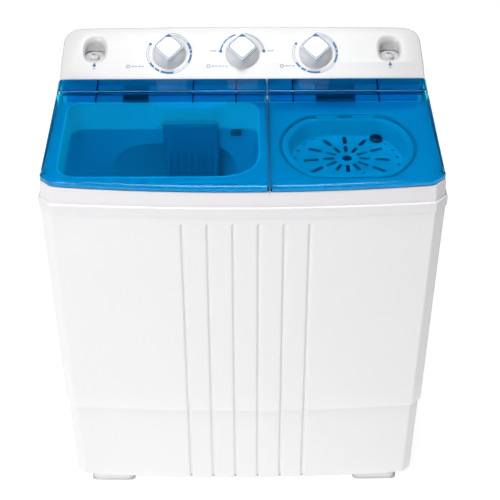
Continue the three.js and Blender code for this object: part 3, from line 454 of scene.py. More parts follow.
# ---------------------------------------------------------------- the machine's plan outline
frame_low, frame_high = box_mm("top_frame")
_, cabinet_high = box_mm("cabinet")
base_low, base_high = box_mm("base")
HALF = frame_high.x
FRONT = frame_low.y
BACK = frame_high.y
LIP_Z = cabinet_high.z
SEAM_Z = base_high.z
BASE_Z = base_low.z
CABINET_INSET = HALF - cabinet_high.x
BASE_INSET = -FRONT + base_low.y
BOW = 13.5
LID_BOW = 18  # the lids bow more than the body below them
CHAMFER = 20
REAR_CHAMFER = 10
DRAW_IN = 7
NARROWING = 0.0285
GROOVES = [5.2 + (i - 2.5) * 42 for i in range(6)]
GROOVE_HALF = 4.3
GROOVE_DEPTH = 3.6
GROOVE_TOP = 625
WALL = 3.5
BASE_GAP = 0.6  # between the base and the cabinet above it


def front_curve(x, inset, bow=BOW):
    reach = HALF - CHAMFER - inset * 0.414
    radius = (reach ** 2 + bow ** 2) / (2 * bow)
    return FRONT + inset + radius - math.sqrt(radius ** 2 - x ** 2)


def front_columns():
    """Places across the front, as shares of its reach: even, and close together at the grooves."""
    columns = [-1, -0.9, -0.8, -0.7, -0.6, -0.5, -0.42, 0.42, 0.5, 0.6, 0.7, 0.8, 0.9, 1]
    columns = [c * (HALF - CHAMFER - 6) for c in columns]
    for middle in GROOVES:
        steps = [-1.25, -1, -0.8, -0.55, -0.3, 0, 0.3, 0.55, 0.8, 1, 1.25]
        columns += [middle + s * GROOVE_HALF for s in steps]
        columns.append(middle + 21)
    return sorted(columns)


COLUMNS = front_columns()


def plan_outline(inset, bow=BOW, soft=2.5, steps=4):
    """The outline seen from above, from the front left corner round to the left side."""
    half = HALF - inset
    rear = half - DRAW_IN
    chamfer = CHAMFER - 0.586 * inset
    reach = half - chamfer
    back = BACK - inset
    edge_y = front_curve(reach, inset, bow)
    end = reach - soft
    share = end / COLUMNS[-1]
    front = []
    for x in COLUMNS:
        moved = x * share if abs(x) > 130 else x
        front.append((moved, front_curve(moved, inset, bow)))
    right = [
        (reach, edge_y), (half, edge_y + chamfer), (rear, back - REAR_CHAMFER), (rear - REAR_CHAMFER, back),
    ]
    chain = [front[-1]] + right + [(0, back)]
    side = []
    for i in range(1, len(chain) - 1):
        corner = Vector(chain[i])
        start = corner + (Vector(chain[i - 1]) - corner).normalized() * soft * 0.7
        stop = corner + (Vector(chain[i + 1]) - corner).normalized() * soft * 0.7
        for k in range(steps + 1):
            t = k / steps
            side.append(bend(start, corner, stop, t))
    left = [(-x, y) for x, y in reversed(side)]
    return front + side + left


def narrowed(x, z):
    """The body narrows a little towards the floor, at its sides only."""
    share = (LIP_Z - z) / LIP_Z
    return x * (1 - NARROWING * share * ease((abs(x) - 120) / 90))


def groove_dent(x, z):
    """How deep a groove is at x and z: a rounded furrow with a round upper end."""
    nearest = min(GROOVES, key=lambda g: abs(g - x))
    below = max(z - GROOVE_TOP, 0)
    reach = math.hypot(nearest - x, below) / GROOVE_HALF
    if reach >= 1:
        return 0.0
    return GROOVE_DEPTH * (0.5 + 0.5 * math.cos(math.pi * reach)) ** 0.8


def wall_ring(inset, z, grooved=True):
    ring = []
    for i, (x, y) in enumerate(plan_outline(inset)):
        on_front = i < len(COLUMNS)
        dent = groove_dent(x, z) if grooved and on_front else 0.0
        ring.append((narrowed(x, z), y + dent, z))
    return ring


def wall_rings(inset, z0, z1, rows, wall, lip=1.2):
    """Rings of a wall with rounded rims: up the outside, over the top, and down the inside."""
    rings = []
    for run, rise in quarter(3):
        rings.append(wall_ring(inset + lip * (1 - rise), z0 + lip * run))
    rings += [wall_ring(inset, z) for z in rows if z0 + lip < z < z1 - lip]
    for run, rise in reversed(quarter(3)):
        rings.append(wall_ring(inset + lip * (1 - rise), z1 - lip * run))
    rings.append(wall_ring(inset + wall, z1, False))
    rings.append(wall_ring(inset + wall, z0, False))
    return rings


ROWS = [60, 100, 140, 180, 240, 300, 360, 420, 480, 540, 590, 612, 619]
ROWS += [621 + 0.8 * i for i in range(14)]
ROWS += [636, 642]


def add_cabinet():
    rings = wall_rings(CABINET_INSET, SEAM_Z + BASE_GAP, LIP_Z, ROWS, WALL)
    made = loft("cabinet_shell", rings, WHITE, closed=True)
    cover_low, cover_high = box_mm("rear_cover")
    rim = 20
    opening = box(
        "cutter", cover_low.x + rim, cover_high.x - rim, BACK - 12, BACK + 9,
        cover_low.z + rim, cover_high.z - rim, WHITE,
    )
    cut(made, opening)
    place(made, BODY, "white_plastic", ["cabinet"])


def add_base():
    made = loft("base_shell", wall_rings(BASE_INSET, BASE_Z, SEAM_Z, ROWS, WALL, 1.4), WHITE, closed=True)
    outlet_low, outlet_high = box_mm("drain_outlet")
    x = (outlet_low.x + outlet_high.x) / 2
    back = BACK - BASE_INSET
    opening = box("cutter", x - 40, x + 40, back - 12, back + 9, 40, 120, WHITE, 6, 4)
    cut(made, opening)
    place(made, BODY, "white_plastic", ["base"])
    pocket = box("drain_pocket", x - 41.5, x + 41.5, back - 33, back - 1, 38.5, 121.5, WHITE, 7, 4)
    hollow = box("cutter", x - 40, x + 40, back - 31, back + 9, 40, 120, WHITE, 6, 4)
    cut(pocket, hollow)
    place(pocket, BODY, "white_plastic")
    outline = [(px, py) for px, py, _ in wall_ring(BASE_INSET + 3.2, BASE_Z + 1, False)]
    floor = prism("base_floor", outline, BASE_Z + 1, BASE_Z + 6, GREY)
    cut(floor, box("cutter", -110, 60, -120, 40, 0, 60, GREY, 12, 4))
    place(floor, BODY, "white_plastic")


def add_feet():
    for name in ("foot_front_left", "foot_front_right", "foot_rear_left", "foot_rear_right"):
        low, high = box_mm(name)
        corners = [(low.x, low.y, 16), (high.x, low.y, 16), (high.x, high.y, 16), (low.x, high.y, 16)]
        profile = [
            (-4, low.z), (-2.5, low.z + 0.6), (-1.6, low.z + 2), (0, high.z - 1), (0, high.z + 1.2),
        ]
        rings = [at_height(rounded_outline(corners, grow), z) for grow, z in profile]
        place(solid(name + "_moulding", rings, WHITE), BODY, "white_plastic", [name])


# ---------------------------------------------------------------- top frame
_, tub_high = box_mm("wash_tub_walls")
DECK_Z = tub_high.z + 4.3
HOUSING_TOP = frame_high.z
HOOD_FOOT = 663
OPENING = [(-304, -150, 36), (26, -150, 70), (26, 71, 26), (-304, 71, 30)]
inner_low, inner_high = box_mm("spin_inner_lid")
casing_low, casing_high = box_mm("spin_casing")
SPIN_X = (inner_low.x + inner_high.x) / 2
SPIN_Y = (casing_low.y + casing_high.y) / 2
SPIN_FRONT = inner_low.y
SPIN_HINGE_Y = inner_high.y - 2.6
LEDGE_Z = DECK_Z - 4


def spin_outline(radius, front, back, count=144):
    """A circle about the spin axis, cut straight at its front and back."""
    points = []
    for i in range(count):
        a = 2 * math.pi * i / count
        limit = (back - SPIN_Y) if math.sin(a) > 0 else (front - SPIN_Y)
        flat = limit / math.sin(a) if abs(math.sin(a)) > 1e-6 else 1e9
        r = -4 * math.log(math.exp(-radius / 4) + math.exp(-min(flat, 400) / 4))
        r = min(r, radius, flat)
        points.append((SPIN_X + r * math.cos(a), SPIN_Y + r * math.sin(a)))
    return points


def add_apron():
    lip_top = LIP_Z + 18.8
    profile = [
        (2.0, LIP_Z + 0.3), (0.8, LIP_Z + 0.5), (0.1, LIP_Z + 1.4), (0, LIP_Z + 3), (0, lip_top - 3.2),
        (0.25, lip_top - 1.8), (0.9, lip_top - 0.7), (1.9, lip_top - 0.1), (3.1, lip_top + 0.1),
        (3.8, lip_top + 0.5), (4.1, lip_top + 1.6),
        (4.6, DECK_Z - 3.0), (5.1, DECK_Z - 1.4), (6.0, DECK_Z - 0.4), (7.6, DECK_Z),
    ]

    def bow(z):
        return mix(BOW, LID_BOW, max(0, (z - lip_top) / (DECK_Z - lip_top)))

    def rings(steps):
        return [at_height(plan_outline(inset, bow(z)), z) for inset, z in steps]

    made = solid("top_frame_apron", rings(profile), APRON)
    hollow = solid("cutter", rings([(7.5, LIP_Z - 20), (7.5, lip_top), (8.0, DECK_Z - 4)]), APRON)
    bottom, top = LIP_Z - 20, DECK_Z + 9
    wash = prism("cutter", rounded_outline(OPENING, 3), bottom, top, APRON)
    spin_opening = spin_outline(116, SPIN_FRONT - 7, SPIN_HINGE_Y + 8)
    spin = prism("cutter", spin_opening, bottom, top, APRON)
    behind = box("cutter", -292, 292, 114, BACK - 14, DECK_Z - 20, DECK_Z + 9, APRON)
    cut(made, hollow, wash, spin, behind)
    place(made, BODY, "white_plastic", ["top_frame"])


def add_wash_collar():
    """The frame's inner wall, which hangs down inside the wash tub and is cut higher at the filter. It is
    lighter and glows: painted light on a wall in shade.
    """
    def ring(grow, z):
        return at_height(rounded_outline(OPENING, grow, 12), z)

    def foot(grow):
        made = []
        for x, y, _ in ring(grow, 0):
            near_filter = ease((x + 163) / 22) * ease((-22 - x) / 22) if y > 60 else 0
            made.append((x, y, 636 + (HOOD_FOOT - 636) * near_filter))
        return made

    over = [ring(3 - 3.4 * run, DECK_Z + 0.05 - 4.5 * (1 - rise)) for run, rise in reversed(quarter(5))]
    rings = [ring(3.2, DECK_Z - 3.9), ring(3.2, DECK_Z - 0.3), ring(2.8, DECK_Z + 0.1)] + over
    rings += [foot(-0.4), foot(2.4)]
    place(loft("top_frame_wash_collar", rings, COLLAR, closed=True), BODY, "white_plastic")


def add_spin_collar():
    """The frame's rim round the spin tub, with the ledge that the inner lid rests on."""
    profile = [
        (116.2, -7.2, 8.2, DECK_Z - 3.8), (116.2, -7.2, 8.2, DECK_Z - 0.3),
        (115.6, -6.6, 7.6, DECK_Z + 0.1), (113.4, -4.4, 5.4, DECK_Z - 0.1),
        (112.3, -3.3, 4.3, DECK_Z - 0.8), (112, -3, 4, DECK_Z - 2), (112, -3, 4, LEDGE_Z - 0.1),
        (106.5, 2.5, -2.5, LEDGE_Z - 0.1), (105.3, 3.7, -3.7, LEDGE_Z - 0.6),
        (105, 4, -4, LEDGE_Z - 2), (105, 4, -4, DECK_Z - 42), (107.5, 1.5, -1.5, DECK_Z - 42),
        (107.5, 1.5, -1.5, DECK_Z - 9), (115, -6, 7, DECK_Z - 7.5),
    ]
    rings = []
    for radius, front, back, z in profile:
        outline = spin_outline(radius, SPIN_FRONT + front, SPIN_HINGE_Y + back)
        rings.append(at_height(outline, z))
    place(loft("top_frame_spin_collar", rings, DECK, closed=True), BODY, "white_plastic")


HOUSING_HALF = 316
HOUSING_FRONT = 74
HOUSING_BACK = 107.8
OUTLETS = [(-209, -164), (128, 198)]


def add_water_channel():
    """The raised channel behind the tubs, with an outlet over each one, a dark box in it painted as the
    shade of its recess.
    """
    made = box(
        "water_channel", -HOUSING_HALF, HOUSING_HALF, HOUSING_FRONT, HOUSING_BACK,
        DECK_Z - 2, HOUSING_TOP, DECK,
    )
    front, back = HOUSING_FRONT - 5, HOUSING_BACK + 5
    bottom, top = DECK_Z + 2, HOUSING_TOP + 5
    cut(made, *[box("cutter", x0, x1, front, back, bottom, top, DECK) for x0, x1 in OUTLETS])
    bevel(made, 1.6, 3)
    place(made, BODY, "white_plastic")
    # Glowing plates on the channel's front: painted light on a face in shade under the lids.
    edges = [-HOUSING_HALF + 2] + [x for outlet in OUTLETS for x in outlet] + [HOUSING_HALF - 2]
    for i in range(0, len(edges), 2):
        face = box(
            f"water_channel_face_{i // 2 + 1}", edges[i], edges[i + 1],
            HOUSING_FRONT - 1.2, HOUSING_FRONT + 0.4, DECK_Z + 0.1, HOUSING_TOP - 2, COLLAR, 0.4,
        )
        place(face, BODY, "white_plastic")
    # Dark boxes in the outlets: painted shade of their recesses.
    for i, (x0, x1) in enumerate(OUTLETS):
        spout = box(
            f"water_outlet_{i + 1}", x0 + 1, x1 - 1, HOUSING_FRONT + 1, HOUSING_BACK - 1,
            DECK_Z + 2.2, HOUSING_TOP - 0.6, OUTLET, 2, 3,
        )
        hollow = box(
            "cutter", x0 + 3, x1 - 3, HOUSING_FRONT - 8, HOUSING_BACK - 6,
            DECK_Z + 4, HOUSING_TOP - 4, OUTLET,
        )
        cut(spout, hollow)
        place(spout, BODY, "white_plastic")


def add_filter_hood():
    """The bulge of the frame over the lint filter: upright, with splayed sides and a rising foot."""
    low, high = box_mm("lint_filter")
    left, right = low.x - 14, high.x + 14
    half = [(0, 66), (3, 66), (9, 62), (19, 58.5), (26, 57), (33, 57)]

    def ring(z, grow):
        outline = [(left, 70.6)]
        outline += [(left + run, y + grow) for run, y in half]
        outline += [(right - run, y + grow) for run, y in reversed(half)]
        outline += [(right, 70.6)]
        return [(x, y, z if z > HOOD_FOOT + 20 else foot(x, z)) for x, y in outline]

    def foot(x, z):
        return z - 18 * (1 - ease(min(x - left, right - x) / 22))

    steps = [
        (HOOD_FOOT, 1.6), (HOOD_FOOT + 1.4, 0), (DECK_Z - 3, 0), (DECK_Z - 0.8, 0.8), (DECK_Z, 2.4),
    ]
    # In the collar's lighter, glowing white: painted light on the hood, which sits in shade under the lids.
    made = solid("top_frame_filter_hood", [ring(z, grow) for z, grow in steps], COLLAR)
    place(made, BODY, "white_plastic", (), 50)


# ---------------------------------------------------------------- tubs
WASH_X = -125
WASH_Y = -25
BOWL_RADIUS = 150
DRAIN_RUN = 107  # from the tub's axis to its drain


def bowl_rings(grow, floor_z, count=96):
    """The round lower bowl of the wash tub: straight sides, domed in at the shoulder."""
    profile = [(BOWL_RADIUS - 24, floor_z), (BOWL_RADIUS - 8, floor_z + 8), (BOWL_RADIUS, floor_z + 32)]
    profile += [(BOWL_RADIUS, z) for z in (420, 500, 545)]
    for i in range(1, 9):
        angle = math.pi / 2 * i / 8
        profile.append((101 + 49 * math.cos(angle), 545 + 57 * math.sin(angle)))
    return [at_height(circle(r + grow, count, WASH_X, WASH_Y), z) for r, z in profile]


def add_wash_tub():
    low, _ = box_mm("wash_tub")
    floor_z = 340
    outline = rounded_outline(OPENING, 6.6, 10)
    outer = prism("wash_tub_moulding", outline, floor_z - 3, tub_high.z, TUB)
    join(outer, solid("cutter", bowl_rings(2.6, 307), TUB))
    inside = prism("cutter", rounded_outline(OPENING, 3.6, 10), floor_z, tub_high.z + 5, TUB)
    inner_bowl = solid("cutter", bowl_rings(-0.2, 310), TUB)
    well = prism("cutter", circle(11, 32, WASH_X, WASH_Y), 290, 330, TUB)
    drain = prism("cutter", circle(11.5, 32, WASH_X + DRAIN_RUN, WASH_Y), 290, 350, TUB)
    cut(outer, inside, inner_bowl, well, drain)
    place(outer, BODY, "tub_plastic", ["wash_tub", "wash_tub_walls"], 30)
    profile = [(14, 309), (14, low.z), (11.5, low.z), (11.5, 309)]
    rings = [at_height(circle(r, 32, WASH_X + DRAIN_RUN, WASH_Y), z) for r, z in profile]
    place(loft("wash_tub_drain", rings, TUB, closed=True), BODY, "tub_plastic")


def add_lint_filter():
    low, high = box_mm("lint_filter")
    outline = [(low.x, high.y, 1), (low.x, low.y, 10), (high.x, low.y, 10), (high.x, high.y, 1)]
    made = prism("lint_filter_cover", rounded_outline(outline, 0, 8), low.z, high.z, FILTER)
    middle = (low.x + high.x) / 2
    slots = []
    for x in [middle + i * 12 for i in range(-3, 4)]:
        slots.append(box("cutter", x - 2, x + 2, low.y - 5, low.y + 3, low.z + 25, high.z - 60, FILTER))
    cut(made, *slots)
    bevel(made, 1.2, 2)
    place(made, "lint_filter", "tub_plastic", ["lint_filter"])


def add_lint_catch():
    """The small latch beside the filter."""
    made = box("lint_catch", -22, -3, 66, 72, 622, 636, OUTLET, 2.5, 3)
    place(made, BODY, "tub_plastic")
    slit = box("lint_catch_slot", -18, -7, 64.6, 67, 625, 629, GREY, 0.6)
    place(slit, BODY, "tub_plastic")


def add_spin_casing():
    low, high = box_mm("spin_casing")
    radius = (high.x - low.x) / 2
    profile = [
        (radius - 3, high.z), (radius, high.z), (radius, 303), (radius - 3, 300), (30, 300), (30, 303),
        (radius - 6, 303), (radius - 3, 306),
    ]
    made = turned("spin_casing_moulding", profile, SPIN_X, SPIN_Y, TUB, 96)
    place(made, BODY, "tub_plastic", ["spin_casing"], 30)
    profile = [(12, 300), (12, low.z), (9.5, low.z), (9.5, 300)]
    rings = [at_height(circle(r, 24, SPIN_X - 60, SPIN_Y + 70), z) for r, z in profile]
    place(loft("spin_casing_drain", rings, TUB, closed=True), BODY, "tub_plastic")


def add_spin_basket():
    low, high = box_mm("spin_basket")
    r = 108
    z0, z1 = low.z, high.z
    profile = [
        (9.6, z0), (r - 10, z0), (r - 4, z0 + 2), (r - 1, z0 + 6), (r, z0 + 12),
        (r, z1 - 31), (r + 3, z1 - 27), (r + 4, z1 - 24), (r + 4, z1 - 4), (r + 3, z1 - 1), (r + 1, z1),
        (99, z1), (97.5, z1 - 0.6), (97, z1 - 2), (97, z1 - 25), (98.5, z1 - 28), (r - 2.5, z1 - 32),
        (r - 2.5, z0 + 14), (r - 4, z0 + 8), (r - 10, z0 + 4.5), (30, z0 + 4.5), (24, z0 + 30),
        (20, z0 + 39), (14, z0 + 42), (9, z0 + 42.5), (9.6, z0 + 30),
    ]
    made = turned("spin_basket_moulding", profile, SPIN_X, SPIN_Y, FRAMEWORK, 96)
    holes = []
    for row in range(4):
        ring = []
        for i in range(16):
            angle = (i + (row % 2) / 2) * math.tau / 16
            hole = prism("hole", circle(4, 12), r - 12, r + 8, FRAMEWORK)
            turn = Matrix.Rotation(math.pi / 2, 4, "Y")
            hole.data.transform(Matrix.Rotation(angle, 4, "Z") @ turn)
            hole.data.transform(Matrix.Translation(Vector((SPIN_X, SPIN_Y, z0 + 70 + row * 52)) * MM))
            ring.append(hole)
        holes.append(gather("cutter", ring))
    cut(made, *holes)
    boss = [(0, z0 + 39), (9.4, z0 + 39), (9.4, z0 + 42), (6, z0 + 44), (0, z0 + 44.5)]
    cap = turned("spin_basket_boss", boss, SPIN_X, SPIN_Y, FRAMEWORK, 40)
    place(made, "spin_basket", "tub_plastic", ["spin_basket"], 30)
    place(cap, "spin_basket", "tub_plastic")


def add_pulsator():
    low, high = box_mm("pulsator")
    z0 = low.z
    radius = (high.x - low.x) / 2
    profile = [
        (8.4, z0), (radius - 3, z0), (radius - 0.6, z0 + 1.4), (radius, z0 + 4), (radius - 1, z0 + 7),
        (radius - 4, z0 + 9), (90, z0 + 8), (60, z0 + 7.6), (46, z0 + 11), (34, z0 + 18), (26, z0 + 26),
        (20, z0 + 30), (12, z0 + 31.5), (8.4, z0 + 31.5),
    ]
    made = turned("pulsator_moulding", profile, WASH_X, WASH_Y, PULSATOR, 96)
    place(made, "pulsator", "tub_plastic", ["pulsator"])
    ridge = [(16, 29, 5), (40, 27.5, 5.5), (60, 25, 5.5), (80, 22.5, 5), (98, 19, 4.2), (106, 12, 2.6)]
    for i in range(6):
        rings = []
        for along, top, half in ridge:
            section = [(half + 2, 5), (half, top - 5), (half * 0.5, top - 0.8)]
            across = [(-y, z) for y, z in section] + [(0, top)] + section[::-1]
            rings.append([(along, y, z0 + z) for y, z in across])
        vane = solid(f"pulsator_vane_{i + 1}", rings, PULSATOR)
        vane.data.transform(Matrix.Rotation(i * math.tau / 6, 4, "Z"))
        vane.data.transform(Matrix.Translation(Vector((WASH_X, WASH_Y, 0)) * MM))
        place(vane, "pulsator", "tub_plastic", (), 50)


# ---------------------------------------------------------------- inner spin lid
def add_inner_lid():
    """A dished cover with a spoked floor, a ring of small holes and a hole to lift it by."""
    top = LEDGE_Z + 2.8
    floor_z = inner_low.z
    dome = 8
    front, back = SPIN_FRONT + 10, SPIN_HINGE_Y - 6

    def ring(radius, z, inset=0.0):
        return at_height(spin_outline(radius, front + inset, back - inset), z)

    flange_front, flange_back = SPIN_FRONT, SPIN_HINGE_Y - 2.2

    def flange(radius, z, inset=0.0):
        return at_height(spin_outline(radius, flange_front + inset, flange_back - inset), z)

    def floor_height(r):
        return floor_z + dome * (1 - (min(r, 96) / 96) ** 2)

    outer = [ring(r, floor_height(r)) for r in (8.5, 24, 40, 56, 72, 84, 92)]
    outer += [
        ring(95.2, floor_z + 0.6, 0.4), ring(97, floor_z + 2.4, 0.2), ring(98, floor_z + 6),
        ring(101, top - 3), flange(108.6, top - 2.6, 1), flange(109.6, top - 2.2, 0.3),
        flange(110, top - 1.4), flange(109.7, top - 0.5, 0.2), flange(108.9, top, 1),
        ring(102.5, top, -1.8), ring(100.6, top - 0.4, 0.6), ring(99, top - 1.6, 1.6),
        ring(98.4, top - 3, 2.4), ring(95.6, floor_z + 8, 2.6), ring(94.4, floor_z + 4.4, 3),
        ring(92.4, floor_z + 3, 4),
    ]
    outer += [ring(r, floor_height(r) + 2.5) for r in (84, 72, 56, 40, 24, 8.5)]
    made = loft("spin_inner_lid_moulding", outer, WHITE, closed=True)
    slots = []
    for i in range(12):
        turn = Matrix.Rotation(i * math.tau / 12, 4, "Z")
        for r0, r1, half in [(20, 40, 3), (47, 72.5, 3.6)]:
            corners = [(r0, -half, half), (r1, -half, half), (r1, half, half), (r0, half, half)]
            slot = prism("slot", rounded_outline(corners, 0, 5), floor_z - 10, floor_z + 24, WHITE)
            slot.data.transform(turn)
            slots.append(slot)
    slots = gather("cutter", slots)
    slots.data.transform(Matrix.Translation(Vector((SPIN_X, SPIN_Y, 0)) * MM))
    boss = (SPIN_X + 84 * math.cos(math.radians(50)), SPIN_Y + 84 * math.sin(math.radians(50)))
    dots = []
    for x, y in circle(87, 24, SPIN_X, SPIN_Y, math.tau / 48):
        clear = math.hypot(x - boss[0], y - boss[1]) > 15
        if clear and front + 6 < y < back - 6:
            dots.append(prism("dot", circle(3, 14, x, y), floor_z - 10, floor_z + 14, WHITE))
    dots = gather("cutter", dots)
    grip = prism("cutter", circle(8, 32, *boss), floor_z - 10, floor_z + 24, WHITE)
    cut(made, slots, dots, grip)
    bevel(made, 0.5, 2, 50)
    place(made, "spin_inner_lid", "white_plastic", ["spin_inner_lid"], 30)
    profile = [(8, 0.5), (8, 9), (8.8, 10), (10.2, 10), (11, 9), (11, 3), (9.5, 0.5)]
    profile = [(radius, floor_z + rise) for radius, rise in profile]
    rim = turned("spin_inner_lid_grip_ring", profile, *boss, DARK, 40)
    place(rim, "spin_inner_lid", "white_plastic")
    knuckles = []
    for x0, x1 in [(-49.5, -12), (12, 49.5)]:
        rings = []
        for x in (x0, x0 + 0.6, x1 - 0.6, x1):
            r = 2.6 if x0 < x < x1 else 2.1
            rings.append([(SPIN_X + x, SPIN_HINGE_Y + py, LEDGE_Z + 3.2 + pz) for py, pz in circle(r, 20)])
        knuckles.append(solid("knuckle", rings, WHITE))
    place(gather("spin_inner_lid_knuckles", knuckles), "spin_inner_lid", "white_plastic")


# ---------------------------------------------------------------- outer lids
wash_lid_low, wash_lid_high = box_mm("wash_lid")
spin_lid_low, spin_lid_high = box_mm("spin_lid")
_, strip_high = box_mm("wash_lid_strip")
LID_INSET = HALF - spin_lid_high.x
LID_FOOT = wash_lid_low.z
HINGE_Y = wash_lid_high.y - 2.8
HINGE_Z = wash_lid_high.z - 2.8
LID_FRONT_Z = 700.5
LID_HINGE_Z = 715.8
STRIP_BACK_Z = strip_high.z
STRIP_BACK = strip_high.y
LID_WALL = 2.4
STEP_Y = 45.5
RIBS = [(-254, "wash_lid"), (-86, "wash_lid"), (-11, "wash_lid"), (88, "spin_lid"), (237, "spin_lid")]


def lid_height(y):
    start = FRONT + 3
    if y > HINGE_Y:
        return mix(LID_HINGE_Z, STRIP_BACK_Z, (y - HINGE_Y) / (STRIP_BACK - HINGE_Y))
    return mix(LID_FRONT_Z, LID_HINGE_Z, (y - start) / (HINGE_Y - start))


def lid_side(y, inset):
    """Half width of the lids at y: they follow the frame, which closes in towards the back."""
    start = FRONT + LID_BOW + CHAMFER
    share = (y - start) / (BACK - REAR_CHAMFER - start)
    return HALF - LID_INSET - inset - DRAW_IN * share


def lid_outline(split, outward, side, front, inner, back_y):
    """From the hinge at the outer side, round the front, to the hinge at the split."""
    chamfer = CHAMFER - 0.3 * side
    inset = LID_INSET + front
    front_y = front_curve(HALF - CHAMFER - side, inset, LID_BOW)
    points = []
    for i in range(13):
        y = mix(back_y, front_y + chamfer + 5, i / 12)
        points.append((outward * lid_side(y, side), y, "side"))
    corner_a = Vector((outward * lid_side(front_y + chamfer, side), front_y + chamfer))
    corner_b = Vector((outward * (lid_side(front_y + chamfer, side) - chamfer), front_y))
    side_point = Vector((corner_a.x, corner_a.y + 5))
    front_x = corner_b.x - outward * 5
    front_point = Vector((front_x, front_curve(abs(corner_b.x) - 5, inset, LID_BOW)))
    for before, corner, after in [(side_point, corner_a, corner_b), (corner_a, corner_b, front_point)]:
        start = corner + (before - corner).normalized() * 5
        stop = corner + (after - corner).normalized() * 5
        for k in range(1, 6):
            t = k / 6
            points.append((*bend(start, corner, stop, t), "front"))
    edge = split + outward * inner
    first = corner_b.x - outward * 9
    last = edge + outward * 5
    for i in range(25):
        x = mix(first, last, i / 24)
        points.append((x, front_curve(x, inset, LID_BOW), "front"))
    corner = Vector((edge, front_curve(edge, inset, LID_BOW)))
    for k in range(1, 5):
        t = k / 5
        start = Vector((last, corner.y))
        stop = Vector((edge, corner.y + 5))
        points.append((*bend(start, corner, stop, t), "corner"))
    for i in range(13):
        y = mix(corner.y + 5, back_y, i / 12)
        points.append((edge, y, "split"))
    return points


def lid_ring(split, outward, run, rise, back_y, foot=None):
    """One ring of a lid's outside: run goes in from the edge and rise goes up to the top face."""
    side, front, inner = (reach * run for reach in (21.0, 6.5, 2.2))
    drop = {"side": 8.0, "front": 5.6, "corner": 2.6, "split": 2.2}
    ring = []
    for x, y, kind in lid_outline(split, outward, side, front, inner, back_y):
        z = lid_height(y) - drop[kind] * (1 - rise)
        ring.append((x, y, z if foot is None else foot))
    return ring


def add_lid(name, split, outward, body):
    back_y = HINGE_Y - 3.3
    rings = [lid_ring(split, outward, 0, 0, back_y, LID_FOOT)]
    rings += [lid_ring(split, outward, run, rise, back_y) for run, rise in quarter(8)]
    count = len(rings[0])
    points = [p for ring in rings for p in ring]
    faces = []
    for i in range(len(rings) - 1):
        for j in range(count - 1):
            a = i * count + j
            b = a + count
            faces.append((a, a + 1, b + 1, b))
    start = (len(rings) - 1) * count
    faces.append(tuple(range(start, start + count)))
    made = new_object(f"{name}_moulding", points, faces, CLEAR)
    work = bmesh.new()
    work.from_mesh(made.data)
    upward = sum((f.normal * f.calc_area() for f in work.faces), Vector())
    if upward.z < 0:
        bmesh.ops.reverse_faces(work, faces=work.faces)
    work.to_mesh(made.data)
    work.free()
    thick = made.modifiers.new("thickness", "SOLIDIFY")
    thick.thickness = LID_WALL * MM
    thick.offset = -1
    thick.use_even_offset = True
    thick.thickness_clamp = 0.9
    applied(made)
    place(made, body, "blue_clear", [name], 30)


def under_lid(x0, x1, y, depth):
    """A four-cornered section that hangs from the underside of the lids at y."""
    top = lid_height(y) - LID_WALL - 0.05
    return [(x0, y, top), (x1, y, top), (x1, y, top - depth), (x0, y, top - depth)]


def rib(name, x, y0, y1, depth, body, thickness=2.2):
    """A thin upright rib under a lid or its fixed strip, following the slope."""
    left, right = x - thickness / 2, x + thickness / 2
    made = solid(name, [under_lid(left, right, y, depth) for y in (y0, y1)], DEEP_CLEAR)
    bevel(made, 0.3, 2)
    place(made, body, "blue_clear")


def add_lid_ribs():
    for i, (x, lid) in enumerate(RIBS):
        rib(f"hinge_rib_{i + 1}", x, STEP_Y + 1, HINGE_Y - 4, 5.5, lid)
        rib(f"strip_rib_{i + 1}", x, HINGE_Y + 4.5, STRIP_BACK - 1, 5.5, BODY)
    steps = [(STEP_Y, 3.2), (STEP_Y + 2, 1.6), (HINGE_Y - 3.6, 1.6)]
    for name, x0, x1 in [
        ("wash_lid", wash_lid_low.x + 26, wash_lid_high.x - 4),
        ("spin_lid", spin_lid_low.x + 4, spin_lid_high.x - 26),
    ]:
        made = solid(f"{name}_step", [under_lid(x0, x1, y, depth) for y, depth in steps], CLEAR)
        place(made, name, "blue_clear")


def add_strip(name, split, outward):
    """The fixed strip behind a lid, up to the console."""
    low, high = box_mm(name)
    front = HINGE_Y + 3.3
    outer = low.x if outward < 0 else high.x
    top = [(0, -11), (0, -6)] + [(9 * run, -6 + 6 * rise) for run, rise in quarter(6)]
    underside = []
    for run, rise in reversed(quarter(6)):
        underside.append((9 * run + LID_WALL * (1 - 0.6 * run), -LID_WALL - 6 + 6 * rise))
    underside.append((LID_WALL, -11))
    section = [(outer - outward * run, rise) for run, rise in top] + [(split, 0), (split, -LID_WALL)]
    section += [(outer - outward * run, rise) for run, rise in underside]
    rings = [[(x, y, lid_height(y) + z) for x, z in section] for y in (front, STRIP_BACK)]
    made = solid(f"{name}_moulding", rings, STRIP_CLEAR)
    place(made, BODY, "blue_clear", [name])


def add_gap_shade_and_rod():
    """Thin dark strips on the frame under the gaps between the lids and their strips, painted shade of the
    gaps, and the hinge rod.
    """
    gap = (wash_lid_high.x + spin_lid_low.x) / 2
    front = FRONT + LID_BOW * 0.2
    for name, y0, y1, z0, z1 in [
        ("lid_gap_shade", front, HOUSING_FRONT - 1.4, DECK_Z + 0.1, DECK_Z + 8),
        ("strip_gap_shade", HOUSING_FRONT, STRIP_BACK - 1, HOUSING_TOP - 1, HOUSING_TOP + 4),
    ]:
        made = box(name, gap - 1.3, gap + 1.3, y0, y1, z0, z1, BLUE, 0.5)
        place(made, BODY, "blue_plastic")
    rings = [[(x, HINGE_Y + py, HINGE_Z - 4.2 + pz) for py, pz in circle(1.4, 16)] for x in (-316, 316)]
    place(solid("lid_hinge_rod", rings, BLUE), BODY, "blue_plastic")


